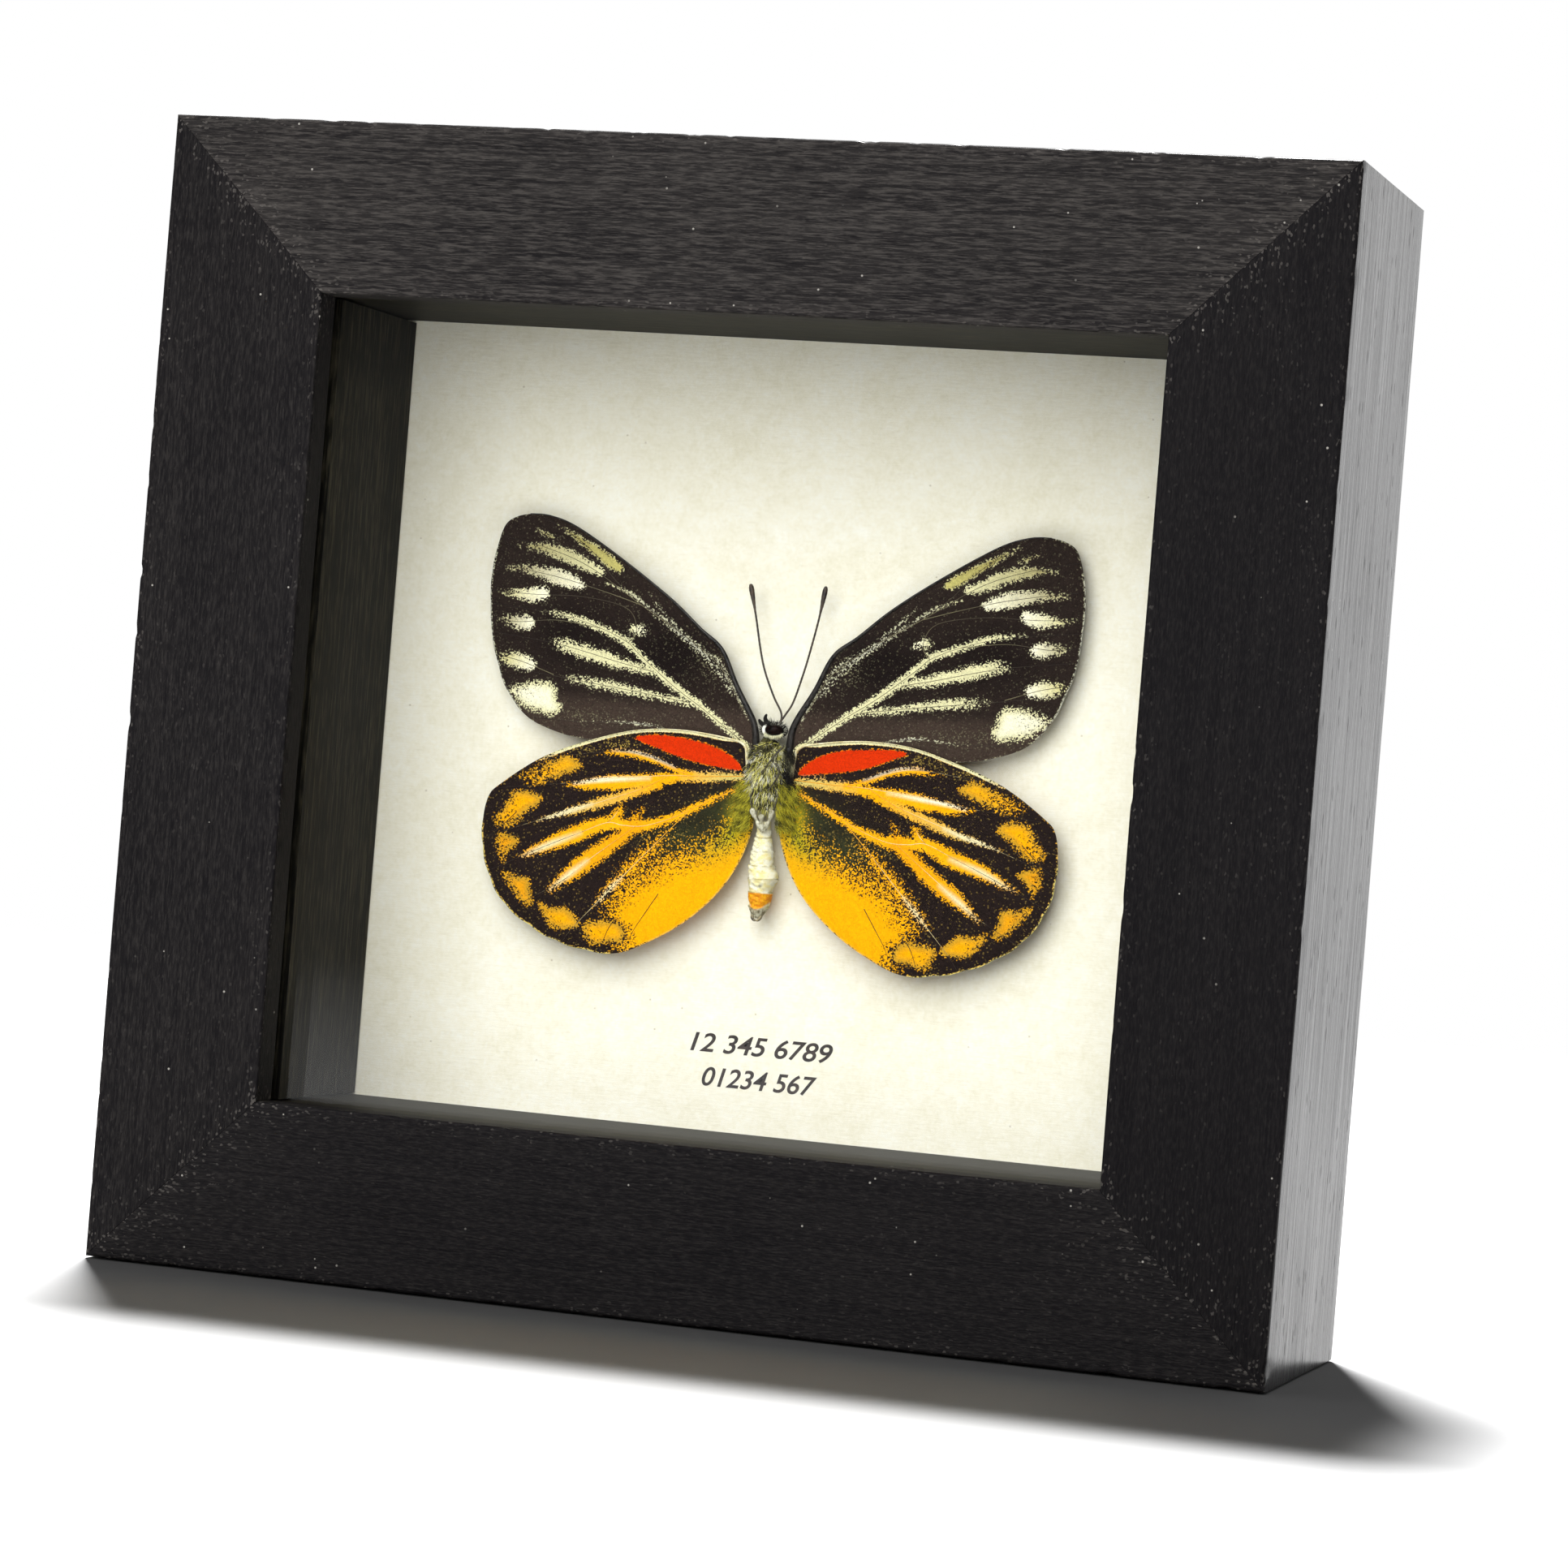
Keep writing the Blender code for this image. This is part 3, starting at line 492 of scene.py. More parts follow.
hindwingMarks = (
    {"line": ((3.15, -1.4, 0.25, 0.6), (5.7, -2.8, 0.3, 0.85), (8.0, -3.9, 0.36, 1),
              (9.7, -4.9, 0.42, 1), (11.4, -5.8, 0.48, 1), (13.1, -6.45, 0.55, 1),
              (14.8, -7.0, 0.7, 1), (16.4, -7.2, 0.85, 1), (17.9, -7.1, 0.7, 1),
              (19.5, -7.05, 0.7, 1)),
     "soft": 0.34, "from": "orange"},
    {"line": ((4.0, 0.35, 0.1, 0.5), (8.0, 0.05, 0.12, 0.4), (10.25, -0.2, 0.14, 0.6)),
     "soft": 0.25, "from": "greyWhite"},
    {"line": ((3.15, -0.3, 0.3, 0.9), (5.7, -0.55, 0.48, 1), (8.0, -0.7, 0.55, 1),
              (10.25, -0.8, 0.62, 1), (12.0, -1.05, 0.6, 1)),
     "soft": 0.3, "from": "straw", "to": "orange"},
    {"line": ((9.6, -0.55, 0.3, 1), (12.0, 0.1, 0.32, 1), (13.7, 0.7, 0.34, 1),
              (15.4, 1.1, 0.34, 1), (17.4, 1.35, 0.34, 1), (19.3, 1.35, 0.26, 0.8),
              (21.5, 1.15, 0.12, 0.3)),
     "soft": 0.26, "from": "orange"},
    {"line": ((11.6, 0.3, 0.1, 0.8), (13.7, 1.0, 0.14, 0.85), (15.4, 1.45, 0.14, 0.8),
              (17.4, 1.72, 0.13, 0.7), (19.5, 1.7, 0.1, 0.4)),
     "soft": 0.2, "from": "greyWhite"},
    {"line": ((11.6, -1.05, 0.55, 1), (14.2, -1.5, 0.72, 1), (16.5, -1.85, 0.85, 1),
              (18.8, -2.15, 0.9, 1), (20.5, -2.4, 0.8, 1), (22.2, -2.7, 0.6, 0.9),
              (24.0, -2.85, 0.38, 0.7), (25.6, -2.7, 0.15, 0.3)),
     "soft": 0.32, "from": "orange", "to": "yellow"},
    {"line": ((13.4, -2.0, 0.5, 1), (15.4, -2.75, 0.52, 1), (17.1, -3.45, 0.55, 1),
              (19.3, -4.25, 0.58, 1), (21.6, -5.1, 0.55, 1), (23.9, -5.9, 0.45, 0.9),
              (25.6, -6.5, 0.3, 0.7), (27.6, -7.2, 0.18, 0.5), (29.3, -7.8, 0.1, 0.25)),
     "soft": 0.3, "from": "yellow", "to": "straw"},
    {"line": ((17.9, -5.2, 0.25, 0.8), (18.3, -6.0, 0.6, 0.9), (19.0, -6.9, 0.7, 1)),
     "soft": 0.42, "from": "orange"},
    {"line": ((15.2, -5.0, 0.3, 0.45), (15.9, -6.2, 0.5, 0.7), (16.2, -7.0, 0.6, 1)),
     "soft": 0.6, "from": "deepOrange"},
    {"line": ((19.0, -6.9, 0.75, 1), (21.05, -7.6, 0.9, 1), (22.8, -8.4, 0.98, 1),
              (24.5, -9.2, 0.98, 1), (26.2, -9.95, 0.85, 0.95), (27.9, -10.75, 0.62, 0.85),
              (29.3, -11.45, 0.42, 0.65), (30.6, -12.1, 0.2, 0.3)),
     "soft": 0.34, "from": "orange", "to": "yellow"},
    {"line": ((15.9, -7.3, 0.6, 1), (17.4, -8.4, 0.75, 1), (18.8, -9.5, 0.88, 1),
              (20.2, -10.6, 1.0, 1), (21.6, -11.7, 1.05, 1), (23.0, -12.9, 0.98, 0.97),
              (24.5, -14.15, 0.72, 0.85), (26.2, -15.7, 0.32, 0.4)),
     "soft": 0.4, "from": "deepOrange", "to": "orange"},
    {"line": ((11.6, -7.2, 0.5, 0.35), (13.4, -9.2, 0.85, 0.5), (14.9, -11.0, 0.95, 0.62),
              (16.3, -12.6, 0.95, 0.66), (17.9, -14.3, 0.85, 0.62), (19.1, -15.6, 0.6, 0.5),
              (20.3, -17.0, 0.3, 0.3)),
     "soft": 0.7, "from": "deepOrange", "to": "orange"},
    {"patch": ((-2.0, -3.5), (1.5, -5.0), (3.6, -7.0), (7.0, -9.3), (12.0, -11.4), (15.5, -13.6),
               (17.6, -16.6), (16.2, -19.4), (15.6, -22.4), (11.0, -23.5), (5.0, -19.5),
               (0.0, -14.0), (-2.5, -8.0)),
     "soft": 2.6, "from": "yellow", "to": "orange"},
    {"patch": ((3.0, -11.0), (7.0, -13.2), (11.4, -15.0), (14.6, -16.2), (17.0, -16.4),
               (18.2, -16.9), (17.2, -17.6), (17.6, -18.5), (15.6, -19.0), (15.4, -20.3),
               (14.2, -21.6), (11.0, -22.5), (5.0, -19.0), (1.0, -13.0)),
     "soft": 0.8, "from": "yellow"},
    {"line": ((2.0, -3.4, 0.6, 0.5), (3.0, -5.4, 1.2, 0.7), (4.2, -7.4, 1.5, 0.65),
              (6.4, -9.4, 1.4, 0.35)),
     "soft": 1.5, "from": "olive"},
    {"patch": ((25.5, 0.55), (24.2, 0.2), (23.3, -0.5), (24.5, -1.25), (26.2, -2.1),
               (28.4, -3.2), (30.3, -3.2), (31.5, -2.3), (29.9, -1.3), (27.6, -0.4)),
     "soft": 0.42, "from": "orange", "to": "ochre",
     "fade": 0.75},
    {"patch": ((31.3, -4.1), (29.3, -4.15), (28.1, -4.8), (28.4, -5.5), (29.85, -6.5),
               (30.7, -7.6), (31.6, -8.4), (33.1, -8.6), (33.8, -7.4), (32.9, -6.3),
               (32.2, -5.1)),
     "soft": 0.42, "from": "yellow", "to": "ochre",
     "fade": 0.45},
    {"patch": ((33.1, -9.2), (31.3, -9.55), (30.5, -10.1), (31.6, -11.2), (32.2, -12.8),
               (32.9, -11.9), (33.4, -11.0)),
     "soft": 0.36, "from": "deepOrange", "to": "ochre",
     "fade": 0.5},
    {"patch": ((32.3, -13.9), (30.4, -14.3), (28.9, -14.4), (28.6, -15.85), (28.1, -17.5),
               (29.6, -17.3), (30.7, -16.1), (31.6, -15.1)),
     "soft": 0.36, "from": "deepOrange", "to": "ochre",
     "fade": 0.35},
    {"patch": ((27.4, -17.2), (25.6, -17.6), (23.9, -17.6), (22.8, -18.4), (22.0, -19.4),
               (23.0, -19.85), (25.0, -20.1), (25.9, -19.6), (26.8, -18.4)),
     "soft": 0.34, "from": "yellow", "to": "ochre",
     "fade": 0.3},
    {"patch": ((21.1, -19.0), (19.3, -18.75), (17.4, -18.7), (16.4, -19.6), (16.5, -20.8),
               (17.9, -21.1), (19.3, -21.55), (20.5, -21.5), (21.4, -20.1)),
     "soft": 0.4, "from": "yellow", "to": "ochre",
     "fade": 0.3},
    {"line": ((14.6, -1.35, 0.1, 0.3), (18.8, -1.75, 0.16, 0.8), (21.5, -2.1, 0.16, 0.85),
              (24.0, -2.6, 0.12, 0.6)),
     "soft": 0.22, "from": "ivory"},
    {"line": ((21.6, -5.0, 0.12, 0.6), (23.9, -5.8, 0.2, 0.9), (26.0, -6.6, 0.22, 0.95),
              (28.2, -7.45, 0.12, 0.6)),
     "soft": 0.22, "from": "core"},
    {"line": ((22.8, -8.5, 0.1, 0.5), (26.2, -10.0, 0.2, 0.9), (28.4, -11.1, 0.16, 0.85),
              (30.2, -12.0, 0.1, 0.4)),
     "soft": 0.3, "from": "core"},
    {"line": ((21.6, -11.7, 0.1, 0.5), (23.6, -13.4, 0.2, 0.85), (25.0, -14.6, 0.16, 0.75),
              (26.2, -15.7, 0.15, 0.4)),
     "soft": 0.3, "from": "core"},
    {"line": ((17.2, -13.4, 0.1, 0.5), (18.6, -15.0, 0.22, 0.8), (20.0, -16.8, 0.12, 0.4)),
     "soft": 0.3, "from": "core"},
    {"patch": ((16.9, 3.25), (15.1, 3.78), (12.5, 3.88), (9.1, 3.5), (6.3, 2.75), (4.3, 1.7),
               (3.5, 0.55), (5.7, 0.55), (8.55, 0.9), (11.4, 1.5), (13.7, 2.2)),
     "soft": 0.16, "from": "red"},
)

wingMarks = {"forewing": forewingMarks, "hindwing": hindwingMarks}

# Veins are (out, up) paths, thinner towards the margin.
wingVeins = {
    "forewing": (
        ((3.0, 3.3), (8.55, 7.1), (12.8, 9.8), (17.4, 13.3), (19.0, 14.6), (22.75, 16.1),
         (27.9, 17.3), (36.6, 18.1)),
        ((15.4, 11.3), (19.9, 12.15), (24.45, 13.15), (28.6, 13.9), (36.1, 14.7)),
        ((10.6, 7.95), (17.4, 8.8), (23.9, 9.5), (34.6, 10.7)),
        ((3.0, 3.2), (9.0, 3.9), (16.0, 5.0), (24.0, 4.75), (30.2, 4.8)),
        ((4.0, 7.6), (7.1, 12.4), (12.5, 16.2), (20.0, 20.9), (25.0, 25.6), (31.0, 28.9)),
        ((12.5, 16.2), (17.6, 19.1), (24.5, 23.2), (30.4, 25.2), (36.1, 26.3)),
        ((17.6, 19.1), (22.0, 20.3), (27.6, 21.6), (33.4, 22.5), (36.8, 22.9)),
        ((18.8, 14.5), (17.9, 16.1), (19.4, 18.6), (25.0, 19.6), (31.6, 19.5), (36.9, 19.7)),
        ((22.4, 16.0), (28.0, 16.6), (33.0, 16.1), (36.7, 16.4)),
        ((28.0, 10.1), (32.2, 11.4), (35.6, 12.0)),
    ),
    "hindwing": (
        ((3.0, -0.2), (8.0, -0.6), (12.0, -0.8), (16.5, -1.35), (20.5, -1.95), (25.0, -2.7),
         (33.6, -3.9)),
        ((9.6, -0.6), (12.0, 0.1), (15.4, 1.25), (19.3, 1.5), (28.0, 0.1)),
        ((12.4, -0.9), (15.4, -2.6), (19.3, -4.15), (23.9, -5.85), (29.3, -7.8), (35.0, -10.0)),
        ((3.0, -1.3), (8.0, -3.9), (11.4, -5.75), (14.8, -7.0), (17.4, -7.15), (19.5, -7.0),
         (22.8, -8.45), (27.9, -10.8), (34.1, -13.9)),
        ((18.1, -5.2), (18.7, -6.2), (19.5, -7.0)),
        ((15.9, -7.15), (18.8, -9.5), (21.6, -11.75), (24.5, -14.3), (30.9, -18.2)),
        ((9.6, -5.0), (12.0, -7.6), (15.65, -11.7), (19.1, -15.6), (22.6, -19.6), (24.0, -21.6)),
    ),
}

# These stay dark all the way.
darkVeins = {
    "forewing": (),
    "hindwing": (
        ((12.4, -14.9), (13.8, -17.2), (15.0, -19.2), (15.6, -20.6)),
        ((17.6, -18.4), (18.4, -19.8), (19.2, -22.2)),
        ((31.0, -6.6), (33.4, -9.0), (35.0, -10.0)),
    ),
}


def lineField(spots, line, widthShare, perSpan=5):
    # How far inside a tapering line each spot is: its half width there, less the distance
    # to the nearest of its segments. Also the share of the way along, and the strength there.
    knots = smoothPath(line, perSpan)
    starts, ends = knots[:-1, :2], knots[1:, :2]
    step = ends - starts
    length = (step**2).sum(axis=1) + 1e-9
    offset = spots[:, None] - starts
    t = np.clip((offset * step).sum(axis=2) / length, 0, 1)
    gap = np.linalg.norm(offset - t[..., None] * step, axis=2)
    width = knots[:-1, 2] + t * (knots[1:, 2] - knots[:-1, 2])
    inside = width * widthShare - gap
    best = inside.argmax(axis=1)
    pick = np.arange(len(spots))
    chosen = t[pick, best]
    strength = knots[best, 3] + chosen * (knots[best + 1, 3] - knots[best, 3])
    return inside[pick, best], (best + chosen) / len(starts), strength


def patchField(spots, outline, perSpan=4):
    # The distance from each spot to a closed outline, counted positive inside it
    loop = smoothPath(outline, perSpan, closed=True)
    following = np.roll(loop, -1, axis=0)
    step = following - loop
    offset = spots[:, None] - loop
    t = np.clip((offset * step).sum(axis=2) / ((step**2).sum(axis=1) + 1e-9), 0, 1)
    gap = np.linalg.norm(offset - t[..., None] * step, axis=2).min(axis=1)
    low = loop[:, 1] > spots[:, 1:2]
    high = following[:, 1] > spots[:, 1:2]
    rise = np.where(step[:, 1] == 0, 1e-9, step[:, 1])
    crossing = loop[:, 0] + (spots[:, 1:2] - loop[:, 1]) * step[:, 0] / rise
    inside = ((low != high) & (spots[:, :1] < crossing)).sum(axis=1) % 2 == 1
    return np.where(inside, gap, -gap)


def layMarks(spots, marks, widthShare):
    # Each mark covers what is under it: its tone fades in over its soft edge
    tone = np.tile(wingTones[marks[0]["from"]], (len(spots), 1))
    cover = np.zeros(len(spots))
    root = np.array(wings["root"])
    for mark in marks:
        outline = np.array(mark.get("line", mark.get("patch")))[:, :2]
        reach = 1.4 + mark["soft"]  # past the half width of the widest line
        near = (spots > outline.min(axis=0) - reach) & (spots < outline.max(axis=0) + reach)
        near = near.all(axis=1)
        if not near.any():
            continue
        if "line" in mark:
            inside, along, strength = lineField(spots[near], mark["line"], widthShare)
        else:
            inside = patchField(spots[near], mark["patch"])
            along = smoothStep(1 - inside / 1.2)
            reached = np.linalg.norm(spots[near] - root, axis=1)
            ends = np.linalg.norm(outline - root, axis=1)
            far = (reached - ends.min()) / (ends.max() - ends.min())
            strength = 1 - mark.get("fade", 0) * smoothStep(far)
        share = smoothStep(inside / (mark["soft"] * wings["speckle"]) + 0.5) * strength
        start = wingTones[mark["from"]]
        end = wingTones[mark.get("to", mark["from"])]
        colour = np.outer(1 - along, start) + np.outer(along, end)
        tone[near] += np.clip(share * 1.6, 0, 1)[:, None] * (colour - tone[near])
        cover[near] = np.maximum(cover[near], share)
    return tone, cover


def mixTone(base, share, tone):
    # from the base, where the share is 0, to one of the wing's tones, where it is 1
    return base + np.clip(share, 0, 1)[:, None] * (wingTones[tone] - base)


def lumpAt(spots, middle, size):
    # 1 at the middle, falling to 0 at about twice the size
    return np.exp(-(((spots - np.array(middle)) / np.array(size)) ** 2).sum(axis=1))


# The ground between the marks: its tone, then lumps of other tones and of stray pale scales,
# each with its strength, its middle and its size
wingGrounds = {
    "forewing": {
        "tone": "brownBlack",
        "lumps": (
            ("deepBlack", 1.1, (13.5, 13.5), (6.5, 4.0)),
            ("deepBlack", 0.9, (26.0, 15.0), (6.0, 4.5)),
        ),
        "dust": 0.06,
        "dusty": ((0.16, (24.0, 5.4), (9.0, 1.2)), (0.2, (8.0, 12.5), (3.0, 2.2))),
    },
    "hindwing": {
        "tone": "hindBlack",
        "lumps": (
            ("darkOlive", 0.9, (5.2, -4.6), (3.4, 2.2)),
            ("darkOlive", 0.9, (9.0, -8.4), (4.6, 2.6)),
            ("olive", 0.95, (3.0, -4.4), (1.4, 2.0)),
        ),
        "dust": 0.02,
        "dusty": (
            (0.3, (18.6, 2.5), (3.2, 0.8)), (0.3, (23.4, 1.3), (2.6, 0.6)),
            (0.2, (12.0, -8.6), (5.0, 2.6)),
        ),
    },
}


def wingGround(kind, spots):
    # the dark ground between the marks, and how densely stray pale scales dust it
    ground = wingGrounds[kind]
    tone = np.tile(wingTones[ground["tone"]], (len(spots), 1))
    for name, strength, middle, size in ground["lumps"]:
        tone = mixTone(tone, strength * lumpAt(spots, middle, size), name)
    if kind == "forewing":
        tone = mixTone(tone, 0.85 * smoothStep((8.6 - spots[:, 1]) / 2.2), "brown")  # lower edge
    dust = ground["dust"]
    for strength, middle, size in ground["dusty"]:
        dust = dust + strength * lumpAt(spots, middle, size)
    return tone, dust


def wingRise(kind, spots):
    # mm towards the glass: a bow over the span, and shallow pleats that fan out from the root
    size = wings[kind]
    out, up = spots[..., 0] - wings["root"][0], spots[..., 1] - wings["root"][1]
    reach = np.hypot(out, up)
    turn = np.arctan2(up, out)
    bow = size["bow"] * np.sin(np.pi * np.clip(reach / wings["bowReach"], 0, 1))
    pleat = size["pleat"] * np.clip(reach / wings["pleatReach"], 0, 1)
    return bow + pleat * np.cos(size["pleats"] * turn)


def wingLoop(kind):
    # the outline at even steps, with shallow bites along the outer margin
    size = wings[kind]
    columns = wings["columns"]
    loop = smoothPath(size["outline"], 24, closed=True)
    around = np.concatenate((loop, loop[:1]))
    run = np.concatenate(([0], np.cumsum(np.linalg.norm(np.diff(around, axis=0), axis=1))))
    even = np.linspace(0, run[-1], columns, endpoint=False)
    loop = np.stack([np.interp(even, run, around[:, axis]) for axis in (0, 1)], -1)
    outwards = unitRows(loop - np.array(size["centre"]))
    first, last = (np.linalg.norm(loop - np.array(end), axis=1).argmin() for end in size["margin"])
    place = np.arange(columns)
    onMargin = smoothStep((place - first) / 14) * smoothStep((last - place) / 14)
    wave = np.abs(np.sin((even - even[first]) * np.pi / wings["scallopPitch"])) - 0.6
    return loop + outwards * (size["scallop"] * wave * onMargin)[:, None], onMargin


def placeWing(kind, side, spots, lift):
    # from a wing's own mm to the frame: turned about its hinge and mirrored to its side
    turn = math.radians(wings["turn"][side])
    hinge = np.array(wings["hinge"])
    spin = np.array(((math.cos(turn), math.sin(turn)), (-math.sin(turn), math.cos(turn))))
    turned = (spots - hinge) @ spin + hinge
    plane = middleOf(f"{kind}_{side}")[1]
    x = bodyX + sides[side] * turned[..., 0] * mm
    z = bodyZ + turned[..., 1] * mm
    return np.stack((x, plane - lift * mm, z), -1)


def scaleFinish(name, dust):
    # Tiny scales in rows that fan out from the root. cover is the chance that a scale has the
    # mark's tone and not the ground's, and dusting the chance of a stray pale one
    finish = Finish(name, {"Specular IOR Level": 0.015})
    dot = finish.cells((wings["scaleSize"],) * 3, "Color")
    small = finish.part(dot, 0)
    second = finish.part(dot, 1)
    coarse = finish.noise((0.36, 0.36, 0.36), 3.0, 0.7)
    fanned = {"Vector": finish.attribute("ray"), "Scale": (70.0, 0.5, 1.0)}
    fanned = finish.node("ShaderNodeMapping", None, fanned)
    streak = {"Vector": fanned, "Scale": 1.0, "Detail": 3.0, "Roughness": 0.65}
    streak = finish.node("ShaderNodeTexNoise", None, streak)
    grain = small * 0.85 + coarse * 0.12 + streak * 0.12 - 0.045
    mask = (finish.attribute("cover", "Fac") * 1.16 - grain).over(0.06, 0.2)
    stray = (finish.attribute("dusting", "Fac") - grain).over(0.06, 0.2)
    ground = finish.blend(stray * 0.8, finish.attribute("ground"), dust)
    ground = finish.blend((second - 0.95).over(0.0, 0.02) * 0.2, ground, dust)
    ground = finish.shade(ground, small * 0.5 + coarse * 0.3 + streak * 0.9 + 0.15)
    light = second * 0.3 + coarse * 0.2 + streak * 0.3 + 0.63
    tone = finish.shade(finish.attribute("tone"), light)
    colour = finish.blend(mask, ground, tone)
    height = small * 0.5 + coarse + streak
    rough = 0.6 + small * 0.25
    finish.drive(Base_Color=colour, Roughness=rough, Normal=finish.bump(height, 0.03, 0.7))
    return finish


def veinFinish(name, root, light, dark):
    # one tone at the root, then pale, then dark for the last quarter of the way to the margin
    finish = Finish(name, {"Specular IOR Level": 0.15})
    patchy = finish.noise((0.7, 0.7, 0.7), 4.0, 0.65)
    darker = (finish.attribute("along", "Fac") + patchy * 0.5).over(0.98, 0.2)
    rough = 0.5 + patchy * 0.2
    paler = (finish.attribute("along", "Fac") + patchy * 0.3).over(0.5, 0.3)
    colour = finish.blend(darker, finish.blend(paler, root, light), dark)
    finish.drive(Base_Color=colour, Roughness=rough, Normal=finish.bump(patchy, 0.02))
    return finish


def addPaleBorder(spots, edge, tone, cover):
    # a narrow cream band just inside the upper edge of a hindwing, and beside the body
    nearTop = smoothStep((edge - 0.962) / 0.012) * smoothStep((spots[:, 1] + 1.0) / 2)
    nearBody = smoothStep((edge - 0.97) / 0.01) * smoothStep((9.0 - spots[:, 0]) / 2)
    nearBody = nearBody * smoothStep((spots[:, 1] + 0.6) / 1.2)
    border = np.maximum(nearTop, nearBody)
    tone = tone + (border * (1 - cover))[:, None] * (wingTones["cream"] - tone)
    return tone, np.maximum(cover, 0.9 * border)


def wingAttributes(kind, side, flat, share, onMargin):
    # What scaleFinish reads, for each row and column of the shell. share is how far from the
    # centre to the outline a row lies, and the fringe is the last of it
    drift = np.stack((ripple(flat / 9, 11), ripple(flat / 9, 12)), -1) * wings["drift"][side]
    tone, cover = layMarks(flat + drift, wingMarks[kind], wings[kind]["lineWidth"])
    ground, dust = wingGround(kind, flat + drift)
    edge = np.repeat(share[:, None], len(onMargin), axis=1).ravel()
    fringe = smoothStep((edge - 0.986) / 0.008) * np.tile(0.35 + 0.65 * onMargin, len(share))
    if kind == "hindwing":
        tone, cover = addPaleBorder(flat, edge, tone, cover)
    tone = tone + fringe[:, None] * (wingTones[wings[kind]["fringeTone"]] - tone)
    cover = np.where(fringe > 0, np.maximum(cover * (1 - fringe), fringe * 0.6), cover)
    away = flat - np.array(wings["root"])
    ray = np.stack((np.arctan2(away[:, 1], away[:, 0]), np.hypot(*away.T), 0 * dust), -1)
    values = {"ray": ray, "tone": tone, "ground": ground, "cover": cover, "dusting": dust}
    shape = (1, len(share), len(onMargin), -1)
    return {key: shellValues(value.reshape(shape)) for key, value in values.items()}


def buildVeins(kind, side, finish):
    # each vein is a flattened tube on the front of its wing that tapers towards the margin
    around = 8
    tubes, shares = [], []
    for path in wingVeins[kind] + darkVeins[kind]:
        line = smoothPath(path, 10)
        taper = np.linspace(1, 0.45, len(line)) * wings[kind]["veinRadius"] * mm
        lift = wingRise(kind, line) + wings["thickness"] / 2 + 0.005
        points = placeWing(kind, side, line, lift)
        tubes.append(shellArrays(tubeGrid(points[None], taper, around, 0.7)))
        start = 1 if path in darkVeins[kind] else 0
        along = np.linspace(start, 1, len(line) + 2)[None, :, None, None]
        shares.append(shellValues(np.repeat(along, around, axis=2)))
    attributes = {"along": np.concatenate(shares)}
    addPiece(f"{kind}_{side}_veins", joinArrays(tubes), finish, (), attributes)


def buildLeadingEdge(kind, side, finish):
    # a stiff rod along the front edge, whose radius falls with the square of the way left
    line = smoothPath(wings[kind]["costa"], 14)
    points = placeWing(kind, side, line, wingRise(kind, line) + 0.1)[None]
    along = np.linspace(0, 1, len(line))
    thick = (0.5 * (1 - along) ** 2 + 0.07) * wings[kind]["costaScale"] * mm
    stem = shellArrays(tubeGrid(points, thick, 12, 0.8))
    addPiece(f"{kind}_{side}_leading_edge", stem, finish)


def buildWings():
    # A wing is a closed shell. Its rows are copies of its outline, shrunk towards its centre:
    # they grow from the centre over the front, and shrink back to it over the back
    scaled = {kind: scaleFinish(kind + "Scales", paint(*wings[kind]["dust"])) for kind in wingMarks}
    veined = {
        "forewing": veinFinish(
            "forewingVein", paint(120, 112, 84), paint(74, 66, 52), paint(34, 27, 23)
        ),
        "hindwing": veinFinish(
            "hindwingVein", paint(232, 166, 50), paint(238, 220, 166), paint(44, 34, 28)
        ),
    }
    edged = {
        "forewing": chitinFinish("forewingCosta", paint(46, 41, 38), paint(14, 11, 10), 0.2, 0.25),
        "hindwing": chitinFinish("hindwingCosta", paint(246, 240, 206), paint(206, 184, 118), 0.5),
    }
    rows, backRows = wings["rows"], wings["backRows"]
    share = np.concatenate((np.linspace(0, 1, rows), np.linspace(1, 0, backRows)))
    facing = np.where(np.arange(len(share)) < rows, 1, -1)
    half = wings["thickness"] / 2 * facing * (1 - share**12)
    for kind in wingMarks:
        loop, onMargin = wingLoop(kind)
        centre = np.array(wings[kind]["centre"])
        spots = centre + share[:, None, None] * (loop[None] - centre)
        lift = wingRise(kind, spots) + half[:, None]
        for side in sides:
            name = f"{kind}_{side}"
            attributes = wingAttributes(kind, side, spots.reshape(-1, 2), share, onMargin)
            shell = shellArrays(placeWing(kind, side, spots, lift)[None])
            addPiece(name + "_scaled", shell, scaled[kind], (name,), attributes)
            buildVeins(kind, side, veined[kind])
            buildLeadingEdge(kind, side, edged[kind])
    print("wings set")


# Sizes in mm. The fluff is the hair over each wing's root, and again on each shoulder.
body = {
    "thoraxSize": (2.25, 2.1, 4.3),
    "hairs": 2600,
    "hairLength": 1.05,
    "hairRadius": 0.042,
    "fluff": 900,
    "fluffRadius": 0.028,
    "shoulderRadius": 0.03,
}

# Tones of the down, and the share of the hairs that each has
downTones = {
    "body": (
        (paint(34, 30, 23), 0.17), (paint(120, 114, 58), 0.13), (paint(226, 218, 112), 0.27),
        (paint(190, 186, 168), 0.14), (paint(254, 248, 178), 0.16), (paint(255, 253, 244), 0.13),
    ),
    "head": (
        (paint(24, 21, 20), 0.6), (paint(120, 116, 104), 0.2), (paint(226, 222, 206), 0.2),
    ),
    "wingRoot": (
        (paint(66, 64, 30), 0.2), (paint(150, 144, 42), 0.38), (paint(212, 200, 60), 0.42),
    ),
    "shoulder": (
        (paint(24, 20, 18), 0.72), (paint(70, 66, 48), 0.2), (paint(150, 146, 110), 0.08),
    ),
}


